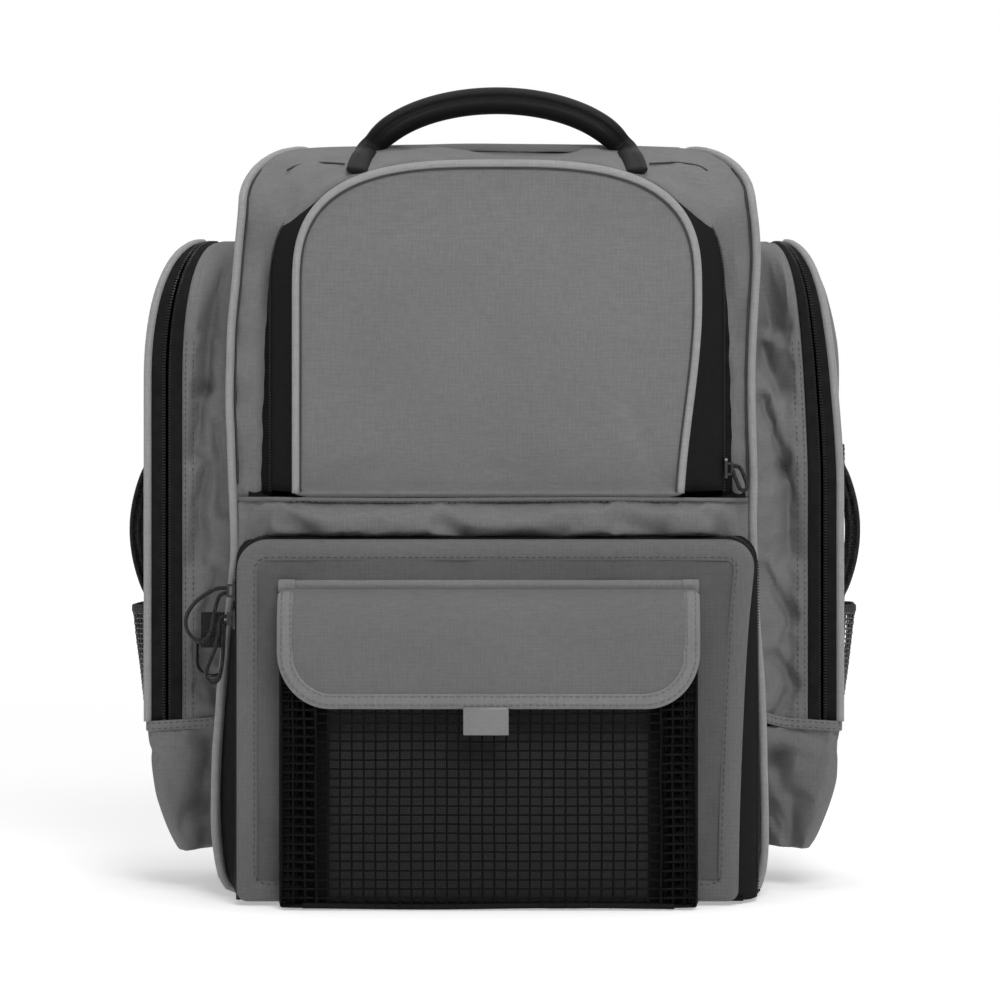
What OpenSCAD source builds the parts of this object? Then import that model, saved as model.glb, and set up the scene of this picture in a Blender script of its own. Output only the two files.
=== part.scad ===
// Tackle backpack: a soft-sided bag with a drop-down tackle door, an arched upper door,
// two side pockets, a mesh pouch with a flap, a carry handle and two shoulder straps.
// Millimetres. +Z is up and the front of the bag faces -Y. The origin is under the middle of the bag.

/* [Body] */
// Width of the body at the base
base_w = 330; // [300:2:360]
// Width of the body at the top
top_w = 310; // [290:2:330]
// Height of the body without the handle
body_h = 462; // [440:2:500]
// Front seam plane of the body
seam_y = -75; // [-80:1:-70]
// Outer face of the back wall
back_y = 80; // [75:1:85]
// Thickness of a padded fabric wall
wall_t = 4; // [3:0.5:5]

/* [Tackle door] */
// Width of the tackle door
door_w = 311; // [305:1:312]
// Height of the tackle door's top edge above the ground
door_top = 219; // [205:1:219]
// Outer face of the tackle door
door_y = -120; // [-124:1:-118]
// Padded thickness of the tackle door
door_t = 6; // [5:1:8]
// Width of the binding round the tackle door
binding_w = 14; // [10:1:18]

/* [Upper door] */
// Width of the arched upper door
arch_w = 247; // [241:2:249]
// Height of the arched door's bottom edge
arch_bottom = 247; // [246:1:250]
// Height at which the arch springs from its straight sides
arch_spring = 368; // [360:2:376]
// Height of the arch's crown
arch_top = 448; // [442:1:449]
// Outer face of the upper door
arch_y = -112; // [-114:1:-110]

/* [Mesh pouch] */
// Middle of the pouch, a little off the bag's centre
pouch_x = -5; // [-8:1:0]
// Width of the pouch and its flap
pouch_w = 248; // [240:2:260]
// Height of the pouch's mouth
pouch_top = 136; // [125:1:145]
// Depth of the pouch
pouch_d = 22; // [16:1:24]
// Height of the flap's hinge seam
flap_top = 189; // [185:1:192]
// Height of the flap's lower edge
flap_bottom = 120; // [112:1:126]

/* [Side pockets] */
// Distance from the bag's middle plane to the outer face of a side pocket
pocket_x = 219; // [212:1:224]
// Front face of a side pocket
pocket_front = -48; // [-52:1:-44]
// Back face of a side pocket
pocket_back = 62; // [56:1:66]
// Height of a side pocket's top
pocket_top = 402; // [390:2:410]
// Height of the seam where the side door hinges
pocket_seam = 103; // [98:1:108]

/* [Carry] */
// Half the span of the carry handle at its seams
handle_half = 82; // [74:1:90]
// Height of the handle's crown, on its centreline
handle_top = 491; // [485:1:497]
// Plane of the carry handle, on the front slope of the top
handle_y = -48; // [-52:1:-40]
// Width of a shoulder pad
pad_w = 60; // [50:1:65]
// Thickness of a shoulder pad
pad_t = 11; // [8:1:14]

/* [Hidden] */

grey = [0.44, 0.435, 0.44];
light_grey = [0.56, 0.555, 0.56];
black = [0.09, 0.09, 0.095];
far = 400;              // longer than anything that it cuts
arc_steps = 6;          // facets in a rounded corner

inner_x = base_w / 2 - 17;     // where the side panels end and the front, back and base panels begin
corner_z = body_h - 37;        // where the top panel begins
shelf_z = 222;                 // underside of the divider between the two compartments
tape_t = 2;                    // zip tape and its backing
coil_w = 2.4;                  // one row of zip coil, across the zip
coil_h = 3;                    // height of the coil, tape included
zip_gap = 1.4;                 // between the two rows, where the slider's post runs
lower_zip_y = -95;             // middle of the tackle door's zip
upper_zip_y = -87.3;           // middle of the upper door's zip
lower_zip_x = door_w / 2 + 2;  // outer face of the tackle door's zip tape
upper_zip_out = 14;            // how far the upper door's zip stands outside the door
upper_zip_x = arch_w / 2 + upper_zip_out;
side_zip_x = 205;              // middle of a side pocket's zip
piping_r = 2.7;                // radius of the corded edge piping
handle_foot = 448;             // height of the ellipse that the handle follows
handle_pivot = 462;            // height at which the sewn handle bends
cord_d = 2.5;                  // pull cords

// ---- outlines and helpers ----

// Points on a circular arc, from angle a0 to a1
function arc(cx, cy, r, a0, a1, n = arc_steps) =
    [for (i = [0:n]) let (a = a0 + (a1 - a0) * i / n) [cx + r * cos(a), cy + r * sin(a)]];

// A four-sided outline with a radius at each corner: bottom left, bottom right, top right, top left
function rounded(x0, x1, y0, y1, r) = concat(
    arc(x0 + r[0], y0 + r[0], r[0], 180, 270), arc(x1 - r[1], y0 + r[1], r[1], 270, 360),
    arc(x1 - r[2], y1 - r[2], r[2], 0, 90), arc(x0 + r[3], y1 - r[3], r[3], 90, 180));

// The body seen from the front, tapering upwards
function body_front(inset) = let (b = base_w / 2 - inset, t = top_w / 2 - inset, rb = 12, rt = 34 - inset)
    concat(arc(-b + rb, inset + rb, rb, 180, 270), arc(b - rb, inset + rb, rb, 270, 360),
        arc(t - rt, body_h - inset - rt, rt, 0, 90), arc(-t + rt, body_h - inset - rt, rt, 90, 180));

// The body seen from the side
function body_side(inset) =
    rounded(seam_y + inset, back_y - inset, inset, body_h - inset, [8, 12, 45 - inset, 50 - inset]);

// The arched door: straight sides that run into a cubic superellipse
function arch(grow_x, grow_z, bottom = arch_bottom, n = 20) = let (a = arch_w / 2 + grow_x, b = arch_top - arch_spring + grow_z)
    concat([[-a, bottom], [a, bottom]],
        [for (i = [0:n]) let (t = 180 * i / n, c = cos(t), s = sin(t))
            [a * sign(c) * pow(abs(c), 2 / 3), arch_spring + b * pow(abs(s), 2 / 3)]]);

// The tackle door: rounded top corners
function door_outline(grow, bottom = 3) =
    rounded(-door_w / 2 - grow, door_w / 2 + grow, bottom, door_top + grow, [5, 5, 18 + grow, 18 + grow]);

// A side pocket seen from the side
function pocket_outline(inset, bottom = 33) =
    rounded(pocket_front + inset, pocket_back - inset, bottom, pocket_top - inset,
        [18, 18, 45 - inset, 45 - inset]);

module along_y(y0, y1) translate([0, y1, 0]) rotate([90, 0, 0]) linear_extrude(height = y1 - y0) children();
module along_x(x0, x1) translate([x0, 0, 0]) rotate([90, 0, 90]) linear_extrude(height = x1 - x0) children();
module slab(x, y, z) translate([x[0], y[0], z[0]]) cube([x[1] - x[0], y[1] - y[0], z[1] - z[0]]);
module both_sides() { children(); mirror([1, 0, 0]) children(); }
module on_side(left) { if (left) mirror([1, 0, 0]) children(); else children(); }

function unit(v) = v / norm(v);
function tangent(path, i) = unit(path[min(i + 1, len(path) - 1)] - path[max(i - 1, 0)]);
function ring(path, i, section, side) = let (t = tangent(path, i), a = unit(side - (side * t) * t), b = cross(t, a))
    [for (p = section) path[i] + p[0] * a + p[1] * b];

// A solid through a list of rings with the same number of points
module skin(rings) {
    n = len(rings[0]);
    last = len(rings) - 1;
    corner = function (i, j) i * n + j % n;
    polyhedron(
        points = [for (r = rings) each r],
        faces = concat(
            [for (i = [0:last - 1], j = [0:n - 1]) each [
                [corner(i, j), corner(i + 1, j), corner(i + 1, j + 1)],
                [corner(i, j), corner(i + 1, j + 1), corner(i, j + 1)]]],
            [[for (j = [0:n - 1]) j]],
            [[for (j = [n - 1:-1:0]) corner(last, j)]]));
}
// A section swept along a path; its first axis stays as close as it can to side
module sweep(path, section, side) skin([for (i = [0:len(path) - 1]) ring(path, i, section, side)]);

function round_section(r, n = 8) = [for (i = [0:n - 1]) [r * cos(360 * i / n), r * sin(360 * i / n)]];
function oval_section(a, b, n = 12) = [for (i = [0:n - 1]) [a * cos(360 * i / n), b * sin(360 * i / n)]];
function flat_section(w, t) = [[-w / 2, -t / 2], [w / 2, -t / 2], [w / 2, t / 2], [-w / 2, t / 2]];

// ---- body shell ----

module body_block(inset) intersection() {
    along_y(-far, far) polygon(body_front(inset));
    along_x(-far, far) polygon(body_side(inset));
}
module body_shell() difference() { body_block(0); body_block(wall_t); }
module arch_opening() along_y(-far, 0) polygon(arch(-5, -5, arch_bottom + 3));

module side_panel(left) color(grey) on_side(left)
    intersection() { body_shell(); slab([inner_x, far], [-far, far], [-1, corner_z]); }
module side_panel_left() side_panel(true);
module side_panel_right() side_panel(false);
module top_panel() color(grey) difference() {
    intersection() { body_shell(); slab([-far, far], [-far, far], [corner_z, far * 2]); }
    arch_opening();
}
module back_wall() color(black)
    slab([-inner_x, inner_x], [back_y - wall_t, back_y], [wall_t, corner_z]);
module base_panel() color(black) {
    slab([-inner_x, inner_x], [seam_y + 8, back_y - 12], [0, wall_t]);
    slab([-inner_x, inner_x], [-112, seam_y + 8], [2, wall_t]);
}
module front_yoke() color(grey) difference() {
    intersection() {
        slab([-inner_x, inner_x], [seam_y, seam_y + wall_t], [shelf_z + 0.5, corner_z]);
        body_block(0);
    }
    arch_opening();
}
// Fabric that fills the step between the upper door and the top of the tackle door
ledge_outer = [[seam_y, 246], [-100, 245.5], [-106, 243], [-110, 239], [-112, 232], [-109, 225.5], [-104, 223], [-97, 223]];
ledge_inner = [[-97, 226], [-103, 226], [-106, 228], [-108.5, 232], [-107, 237], [-104, 240], [-99, 242.5], [seam_y, 243]];
module storage_ledge() color(grey) along_x(-156, 156) polygon(concat(ledge_outer, ledge_inner));
module divider_shelf() color(black)
    slab([-inner_x + 1, inner_x - 1], [seam_y + wall_t + 0.5, 74], [shelf_z, shelf_z + 3]);
module frame_sheet() color([0.2, 0.2, 0.2])
    slab([-138, 138], [back_y - wall_t - 1.6, back_y - wall_t - 0.1], [12, 420]);
module base_board() color([0.2, 0.2, 0.2]) slab([-144, 144], [seam_y + 8, 66], [wall_t + 0.1, wall_t + 2]);
module back_pad() color(black) along_y(back_y, back_y + 11)
    polygon(rounded(-128, 128, 56, 432, [30, 30, 36, 36]));

// Corded piping along the seams round each side panel: up the front, over the top and down the back.
// It stands off the corner along the sum of the two faces' normals.
function seam_x(z) = base_w / 2 + (top_w - base_w) / 2 * min(z, corner_z) / corner_z;
function piping_seam(front) = let (r = front ? 45 : 50, face = front ? seam_y : back_y, out = front ? -1 : 1) concat(
    [for (z = [14:34:400]) [[seam_x(z), face, z], [1, out, 0]]],
    [for (a = [0:15:90]) let (z = body_h - 34 + 34 * sin(a), s = min(1, max(0, (z - body_h + r) / r)))
        [[top_w / 2 - 34 + 34 * cos(a), face - out * r * (1 - sqrt(1 - s * s)), z], [cos(a), out * sqrt(1 - s * s), sin(a) + s]]]);
function piping_points(front) = [for (q = piping_seam(front)) q[0] + (piping_r + 0.6) * unit(q[1])];
function reversed(v) = [for (i = [len(v) - 1:-1:0]) v[i]];
module body_piping() color(light_grey) both_sides()
    sweep(concat(piping_points(true), reversed(piping_points(false))), round_section(piping_r), [1, 0, 0]);

// ---- zips: each half is a tape with one row of coil ----

// A band between two copies of an outline, open at the bottom
module arch_band(y0, y1, outer_x, outer_z, t, bottom) along_y(y0, y1) difference() {
    polygon(arch(outer_x, outer_z, bottom));
    polygon(arch(outer_x - t, outer_z - t, bottom - 1));
}
module door_band(y0, y1, outer, t, bottom) along_y(y0, y1) difference() {
    polygon(door_outline(outer));
    polygon(door_outline(outer - t, -far));
    translate([-far, -far]) square([2 * far, far + bottom]);
}
module pocket_band(x0, x1, t, bottom) along_x(x0, x1) difference() {
    polygon(pocket_outline(0));
    polygon(pocket_outline(t));
    translate([-far, -far]) square([2 * far, far + bottom]);
}

module lower_zip_bag_side() color(black) {
    door_band(lower_zip_y + zip_gap / 2 + coil_w, seam_y, 2, tape_t, 5);
    door_band(lower_zip_y + zip_gap / 2, lower_zip_y + zip_gap / 2 + coil_w, 2.5, coil_h, 5);
}
module lower_zip_door_side() color(black) {
    door_band(door_y + door_t, -103, 0, tape_t, 14);
    door_band(-103, -101.4, 2, tape_t + 2, 14);
    door_band(-101.4, lower_zip_y - zip_gap / 2 - coil_w, 2, tape_t, 14);
    door_band(lower_zip_y - zip_gap / 2 - coil_w, lower_zip_y - zip_gap / 2, 2.5, coil_h, 14);
}
module upper_zip_bag_side() color(black) {
    difference() {
        arch_band(upper_zip_y + zip_gap / 2 + coil_w, -40, upper_zip_out, 3, tape_t, arch_bottom + 1);
        body_block(0);
    }
    arch_band(upper_zip_y + zip_gap / 2, upper_zip_y + zip_gap / 2 + coil_w, upper_zip_out + 0.5, 3.5, coil_h, arch_bottom + 1);
}
// A sleeve behind the door, a flange out to the zip, then the tape and its coil
module upper_zip_door_side() color(black) {
    arch_band(arch_y + 6, -95, -0.5, -0.5, tape_t, arch_bottom + 2);
    arch_band(-95, -93, upper_zip_out, 3, upper_zip_out + 3, arch_bottom + 2);
    arch_band(-93, upper_zip_y - zip_gap / 2 - coil_w, upper_zip_out, 3, tape_t, arch_bottom + 2);
    arch_band(upper_zip_y - zip_gap / 2 - coil_w, upper_zip_y - zip_gap / 2, upper_zip_out + 0.5, 3.5, coil_h, arch_bottom + 2);
}
module zip_bag_side(left) color(black) on_side(left) {
    pocket_band(195, side_zip_x - zip_gap / 2 - coil_w, tape_t, pocket_seam);
    pocket_band(side_zip_x - zip_gap / 2 - coil_w, side_zip_x - zip_gap / 2, coil_h, pocket_seam);
}
module zip_door_side(left) color(black) on_side(left) {
    pocket_band(side_zip_x + zip_gap / 2, side_zip_x + zip_gap / 2 + coil_w, coil_h, pocket_seam + 1);
    pocket_band(side_zip_x + zip_gap / 2 + coil_w, pocket_x - 4, tape_t, pocket_seam + 1);
}
module left_zip_bag_side() zip_bag_side(true);
module right_zip_bag_side() zip_bag_side(false);
module left_zip_door_side() zip_door_side(true);
module right_zip_door_side() zip_door_side(false);

// A zip slider: two plates joined by a post between the rows of coil, and a bail for the pull cord.
// Local X runs along the zip, Y across it and Z out of the bag; the tape's outer face is at z = 0.
module zip_slider() color([0.12, 0.12, 0.13]) {
    linear_extrude(height = 1.6) translate([0, 0]) polygon(rounded(-7, 7, -4.6, 4.6, [2.5, 2.5, 2.5, 2.5]));
    translate([0, 0, -coil_h - 2.3]) linear_extrude(height = 1.3)
        polygon(rounded(-7, 7, -4.2, 4.2, [2.5, 2.5, 2.5, 2.5]));
    translate([2, -0.45, -coil_h - 1.5]) cube([4, 0.9, coil_h + 2]);
    for (x = [-4, 2.6]) translate([x, -1.4, 1]) cube([1.4, 2.8, 3.4]);
    translate([-4, -1.4, 4]) cube([8, 2.8, 1.4]);
}
slider_lift = 0.9;    // from the tape's outer face to the slider's outer plate
module slider_on_lower(z) translate([-lower_zip_x - slider_lift, lower_zip_y, z])
    rotate([0, 90, 0]) mirror([0, 0, 1]) zip_slider();
lower_a_z = 188;
lower_b_z = 171;
upper_slider_z = 262;
side_slider_z = 122;
module lower_slider_a() slider_on_lower(lower_a_z);
module lower_slider_b() slider_on_lower(lower_b_z);
module upper_slider() translate([upper_zip_x + slider_lift, upper_zip_y, upper_slider_z])
    rotate([0, 90, 0]) zip_slider();
module side_slider(left) on_side(left) translate([side_zip_x, pocket_back + 0.4, side_slider_z])
    rotate([0, 0, 90]) rotate([0, 90, 0]) zip_slider();
module left_slider() side_slider(true);
module right_slider() side_slider(false);

// ---- tackle door, pouch and flap ----

module tackle_door_panel() color(grey) along_y(door_y, door_y + door_t) polygon(door_outline(0));
module tackle_door_binding() color(light_grey) along_y(door_y - 2.5, door_y) difference() {
    polygon(door_outline(0));
    polygon(door_outline(-binding_w, -far));
}
pouch_y = door_y - pouch_d;      // front face of the mesh pouch
mesh_t = 1.5;                    // mesh and its binding
pouch_front_w = 204;             // the front mesh is narrower than the pouch, and the bellows fill the rest
module pouch_front() color(black)
    slab([pouch_x - pouch_front_w / 2, pouch_x + pouch_front_w / 2], [pouch_y, pouch_y + mesh_t], [1, pouch_top]);
module pouch_bellows() color(black) {
    translate([pouch_x, 0, 1]) both_sides() linear_extrude(height = pouch_top - 1) polygon([
        [pouch_front_w / 2, pouch_y], [pouch_w / 2, door_y - 2], [pouch_w / 2, door_y], [pouch_w / 2 - 4, door_y],
        [pouch_front_w / 2, pouch_y + 3]]);
    translate([pouch_x, 0, 1]) linear_extrude(height = mesh_t) polygon([
        [-pouch_front_w / 2, pouch_y + 3], [pouch_front_w / 2, pouch_y + 3], [pouch_w / 2 - 4, door_y],
        [-pouch_w / 2 + 4, door_y]]);
}
module flap_seam_strip() color(grey) slab([pouch_x - 125, pouch_x + 125], [door_y - 3, door_y], [flap_top - 1, flap_top + 6]);

// The flap seen from the side: out from its seam, then down over the pouch
flap_line = [[-124.4, flap_top + 2.5], [-139, flap_top - 6], [-143.2, flap_top - 20], [-144.2, flap_bottom]];
function flap_profile(out, t) = concat([for (p = flap_line) p - [out, out / 3]],
    reversed([for (p = flap_line) p - [out + t, (out + t) / 3]]));
function flap_outline(inset) = rounded(pouch_x - 125 + inset, pouch_x + 125 - inset, flap_bottom - 1 + inset,
    flap_top + 8, [38 - inset, 38 - inset, 1, 1]);
module pouch_flap_panel() color(grey) intersection() {
    along_x(-far, far) polygon(flap_profile(0, 2));
    along_y(-far, 0) polygon(flap_outline(0));
}
module pouch_flap_binding() color(light_grey) intersection() {
    along_x(-far, far) polygon(flap_profile(2, 1));
    along_y(-far, 0) difference() {
        polygon(flap_outline(0));
        polygon(flap_outline(8));
        translate([-far, flap_top - 8]) square([2 * far, far]);
    }
}
module flap_pull_tab() color(light_grey) slab([pouch_x - 15, pouch_x + 12], [-144, -142.6], [104, 128]);

// ---- upper door ----

module upper_door_panel() color(grey) along_y(arch_y, arch_y + 6) polygon(arch(-piping_r * 2, -piping_r * 2));
module upper_door_piping() color(light_grey)
    sweep([for (p = [for (q = arch(-piping_r, -piping_r, arch_bottom, 28)) if (q[1] > arch_bottom || q[0] > 0) q])
            [p[0], arch_y + 2.7, p[1]]], round_section(piping_r * 0.98), [0, 1, 0]);

// ---- side pockets ----

module pocket_gusset(left) color(grey) on_side(left) difference() {
    pocket_band(140, 195, 3, pocket_seam);
    body_block(0);
}
module left_pocket_gusset() pocket_gusset(true);
module right_pocket_gusset() pocket_gusset(false);

// The part under the side door: it tapers in towards the ground
pocket_taper = [[140, 33], [190, 33], [206, 60], [pocket_x, pocket_seam], [140, pocket_seam]];
pocket_hollow = [[0, 36], [189, 36], [203.5, 61], [pocket_x - 3, pocket_seam + 1], [0, pocket_seam + 1]];
module pocket_base(left) color(grey) on_side(left) difference() {
    intersection() {
        along_y(-far, far) polygon(pocket_taper);
        along_x(0, far) polygon(pocket_outline(0));
    }
    intersection() {
        along_y(-far, far) polygon(pocket_hollow);
        along_x(0, far) polygon(pocket_outline(3));
    }
    body_block(0);
}
module left_pocket_base() pocket_base(true);
module right_pocket_base() pocket_base(false);

module side_door(left) color(grey) on_side(left) along_x(pocket_x - 4, pocket_x) difference() {
    polygon(pocket_outline(0));
    translate([-far, -far]) square([2 * far, far + pocket_seam + 1]);
}
module left_side_door() side_door(true);
module right_side_door() side_door(false);

sleeve_top = 175;
module mesh_sleeve(left) color(black) on_side(left) difference() {
    along_y(-34, 50) polygon([[pocket_x, 105], [pocket_x + 3, 105], [pocket_x + 8, 125], [pocket_x + 9, sleeve_top],
        [pocket_x, sleeve_top]]);
    along_y(-32, 48) polygon([[pocket_x, 109], [pocket_x + 3, 110], [pocket_x + 6.5, 126],
        [pocket_x + 7.5, sleeve_top + 1], [pocket_x, sleeve_top + 1]]);
}
module left_mesh_sleeve() mesh_sleeve(true);
module right_mesh_sleeve() mesh_sleeve(false);

// A webbing loop that stands off the side door
grab_loop_path = [for (i = [0:12]) [pocket_x + 1.6 + 12 * pow(sin(15 * i), 0.7), 6, 180 + 88 * i / 12]];
module grab_loop(left) color(black) on_side(left) sweep(grab_loop_path, flat_section(26, 1.8), [0, 1, 0]);
module left_grab_loop() grab_loop(true);
module right_grab_loop() grab_loop(false);

// ---- carry handle and D ring ----

function handle_point(t) = [handle_half * cos(t), handle_y, handle_foot + (handle_top - handle_foot) * sin(t)];
handle_start = asin((handle_pivot + 3 - handle_foot) / (handle_top - handle_foot));
// The grip is flat where it is sewn on and full in the middle
handle_rings = [for (i = [0:20]) let (t = handle_start + (180 - 2 * handle_start) * i / 20, f = min(1, 3 * sin(180 * i / 20)),
    c = handle_point(t), out = [cos(t) / handle_half, 0, sin(t) / (handle_top - handle_foot)])
    [for (p = oval_section(3 + 7 * f, 8.3)) c + p[0] * [0, 1, 0] + p[1] * unit(out)]];
module carry_handle() color(black) skin(handle_rings);
// The ends of its webbing, sewn to the sloping front of the top
module handle_tabs() color(black) both_sides() difference() {
    intersection() {
        body_block(-3.3);
        slab([68, 92], [-far, handle_y - 4], [handle_foot + 2, far * 2]);
    }
    body_block(-1.3);
}
// The top of the bag is doubled where the handle is sewn on
module handle_patch() color(grey) intersection() {
    body_block(-1.2);
    difference() {
        linear_extrude(height = far * 2) polygon(rounded(-114, 114, -55, -20, [15, 15, 12, 12]));
        body_block(0);
    }
}

ring_r = 10;         // inside radius of the D
ring_wire = 1.9;     // radius of its wire
ring_y = -66;
ring_z = 156;
ring_x = -175.5;
module d_ring() color([0.25, 0.25, 0.26]) translate([ring_x, ring_y, ring_z]) {
    rotate([0, 90, 0]) cylinder(r = ring_wire, h = 2 * ring_r, center = true, $fn = 32);
    for (s = [-1, 1]) {
        translate([s * ring_r, 0, 0]) sphere(r = ring_wire, $fn = 32);
        translate([s * ring_r, 0, -12]) cylinder(r = ring_wire, h = 12, $fn = 32);
    }
    translate([0, 0, -12]) rotate([-90, 0, 0]) rotate_extrude(angle = 180, $fn = 48) translate([ring_r, 0])
        circle(r = ring_wire, $fn = 32);
}
module d_ring_tab() color(black) translate([ring_x, ring_y, ring_z]) {
    difference() {
        union() {
            rotate([0, 90, 0]) cylinder(r = ring_wire + 2, h = 13, center = true, $fn = 32);
            slab([-6.5, 6.5], [-1.5, 1.5], [2.5, 18]);
        }
        rotate([0, 90, 0]) cylinder(r = ring_wire + 0.3, h = 14, center = true, $fn = 32);
    }
    difference() {
        slab([6.5, 20], [-1.5, 1.5], [6, 18]);
        translate([-ring_x, -ring_y, -ring_z]) body_block(0);
    }
}

// ---- pull cords ----

lower_cord_a_route = [[-163.8, -95, 189.6], [-167, -95, 189.6], [-170.6, -95.5, 189], [-175, -96.6, 186.8],
    [-180.5, -97.8, 183], [-185.5, -98.6, 177.6], [-188.3, -99, 171], [-187.6, -99, 164.4], [-183.8, -98.8, 159.2],
    [-178.6, -98.4, 157.6], [-174.6, -97.8, 160.4], [-172.7, -97, 166], [-171.6, -96.3, 172.6], [-170.4, -95.6, 179],
    [-168.7, -95.2, 184], [-166.4, -95, 186.2], [-163.8, -95, 186.5]];
lower_cord_b_route = [[-163.8, -95, 172.5], [-166, -95.2, 172.2], [-167.9, -95.8, 169.8], [-168.6, -96.8, 165.4],
    [-169.2, -98.2, 159.5], [-170.8, -99.8, 152.5], [-173.4, -100.8, 146], [-175.6, -101.2, 140], [-175, -101, 134.6],
    [-171.7, -100.6, 132.4], [-168.6, -100, 134.6], [-167, -99.2, 140], [-166.2, -98.4, 147], [-165.8, -97.4, 154.5],
    [-165.6, -96.4, 161.5], [-165.3, -95.5, 166.4], [-163.8, -95, 169.4]];
upper_cord_route = [[143.8, -87.3, 263.5], [145.7, -87.6, 263.6], [147.7, -88.6, 262.6], [149.3, -90.2, 259.8],
    [150.5, -91.6, 256.2], [151.7, -92.8, 252.6], [151.7, -93.6, 250], [149.7, -93.8, 248.7], [147.5, -93.2, 249.8],
    [146.3, -92.2, 252.4], [145.1, -90.8, 255.6], [144.1, -89.2, 258.2], [143.9, -87.8, 260], [143.8, -87.3, 260.6]];
module pull_cord(route) color(black) sweep(route, round_section(cord_d / 2), [0, 1, 0]);
module lower_pull_cord_a() pull_cord(lower_cord_a_route);
module lower_pull_cord_b() pull_cord(lower_cord_b_route);
module upper_pull_cord() pull_cord(upper_cord_route);

// ---- shoulder straps: each hangs in an arc between a seam at the top and one at the bottom ----

strap_top = [56, back_y + 14, 428];
strap_bottom = [126, back_y + 14, 44];
strap_bulge = 48;
function strap_point(s) = strap_top + s * (strap_bottom - strap_top) + [0, strap_bulge * pow(sin(180 * s), 0.75), 0];
module strap_run(from, to, n, w, t)
    sweep([for (i = [0:n]) strap_point(from + (to - from) * i / n)], flat_section(w, t), [1, 0, 0]);
module shoulder_pad(left) color(black) on_side(left) strap_run(0.08, 0.63, 14, pad_w, pad_t);
module strap_webbing(left) color(black) on_side(left) strap_run(0.682, 0.95, 8, 25, 1.8);
lock_at = 0.653;
module ladder_lock(left) color([0.1, 0.1, 0.1]) on_side(left) translate(strap_point(lock_at))
    rotate([-7.8, -10.3, 0]) difference() {
        slab([-17, 17], [-3, 3], [-5, 5]);
        for (z = [-3.2, 0.6]) slab([-13, 13], [-4, 4], [z, z + 2.4]);
    }
module left_shoulder_pad() shoulder_pad(true);
module right_shoulder_pad() shoulder_pad(false);
module left_strap_webbing() strap_webbing(true);
module right_strap_webbing() strap_webbing(false);
module left_ladder_lock() ladder_lock(true);
module right_ladder_lock() ladder_lock(false);
// Sewn ends of the straps, which stay on the bag
module strap_tabs() color(black) both_sides() {
    slab([strap_top[0] - 26, strap_top[0] + 26], [back_y + 11, back_y + 17], [420, 440]);
    slab([strap_bottom[0] - 14, strap_bottom[0] + 14], [back_y, back_y + 12], [34, 52]);
}

side_panel_left();
side_panel_right();
top_panel();
back_wall();
base_panel();
front_yoke();
storage_ledge();
divider_shelf();
back_pad();
frame_sheet();
base_board();
body_piping();
lower_zip_bag_side();
upper_zip_bag_side();
handle_patch();
handle_tabs();
d_ring_tab();
strap_tabs();
left_pocket_gusset();
right_pocket_gusset();
left_pocket_base();
right_pocket_base();
left_zip_bag_side();
right_zip_bag_side();
tackle_door_panel();
tackle_door_binding();
lower_zip_door_side();
pouch_front();
pouch_bellows();
flap_seam_strip();
pouch_flap_panel();
pouch_flap_binding();
flap_pull_tab();
upper_door_panel();
upper_door_piping();
upper_zip_door_side();
left_side_door();
right_side_door();
left_zip_door_side();
right_zip_door_side();
left_mesh_sleeve();
right_mesh_sleeve();
left_grab_loop();
right_grab_loop();
carry_handle();
d_ring();
lower_slider_a();
lower_slider_b();
upper_slider();
left_slider();
right_slider();
lower_pull_cord_a();
lower_pull_cord_b();
upper_pull_cord();
left_shoulder_pad();
right_shoulder_pad();
left_strap_webbing();
right_strap_webbing();
left_ladder_lock();
right_ladder_lock();
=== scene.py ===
"""Tackle backpack: the visual model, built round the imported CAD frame.

Lengths inside this script are millimetres in the row frame (+Z up, the front faces -Y). mesh() turns them into
metres.
"""

import math

import bmesh
import bpy
import numpy as np
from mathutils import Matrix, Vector, noise
from mathutils.bvhtree import BVHTree


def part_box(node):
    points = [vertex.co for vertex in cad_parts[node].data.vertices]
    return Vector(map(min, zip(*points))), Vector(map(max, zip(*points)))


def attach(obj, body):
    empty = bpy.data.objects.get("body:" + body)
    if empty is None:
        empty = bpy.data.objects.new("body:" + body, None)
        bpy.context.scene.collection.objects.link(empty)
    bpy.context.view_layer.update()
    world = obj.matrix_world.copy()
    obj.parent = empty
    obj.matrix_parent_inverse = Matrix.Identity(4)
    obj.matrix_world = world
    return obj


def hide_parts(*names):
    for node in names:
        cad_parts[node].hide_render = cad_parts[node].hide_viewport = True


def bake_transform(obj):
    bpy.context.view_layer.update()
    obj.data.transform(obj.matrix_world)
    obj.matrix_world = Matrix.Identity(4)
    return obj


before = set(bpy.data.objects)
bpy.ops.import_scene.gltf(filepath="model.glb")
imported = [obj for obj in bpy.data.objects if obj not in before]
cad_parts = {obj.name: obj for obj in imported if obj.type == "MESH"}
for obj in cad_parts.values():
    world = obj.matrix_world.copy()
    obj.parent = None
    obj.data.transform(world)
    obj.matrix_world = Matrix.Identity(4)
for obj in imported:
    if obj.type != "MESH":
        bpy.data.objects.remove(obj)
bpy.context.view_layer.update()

MM = 0.001


def cad(node):
    """A CAD node's box, in millimetres: ((x, y, z) low, (x, y, z) high)."""
    low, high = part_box(node)
    return np.array(low) / MM, np.array(high) / MM


# ---- Places that come from the frame ----

SIDES = ((-1, "left"), (1, "right"))

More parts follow.
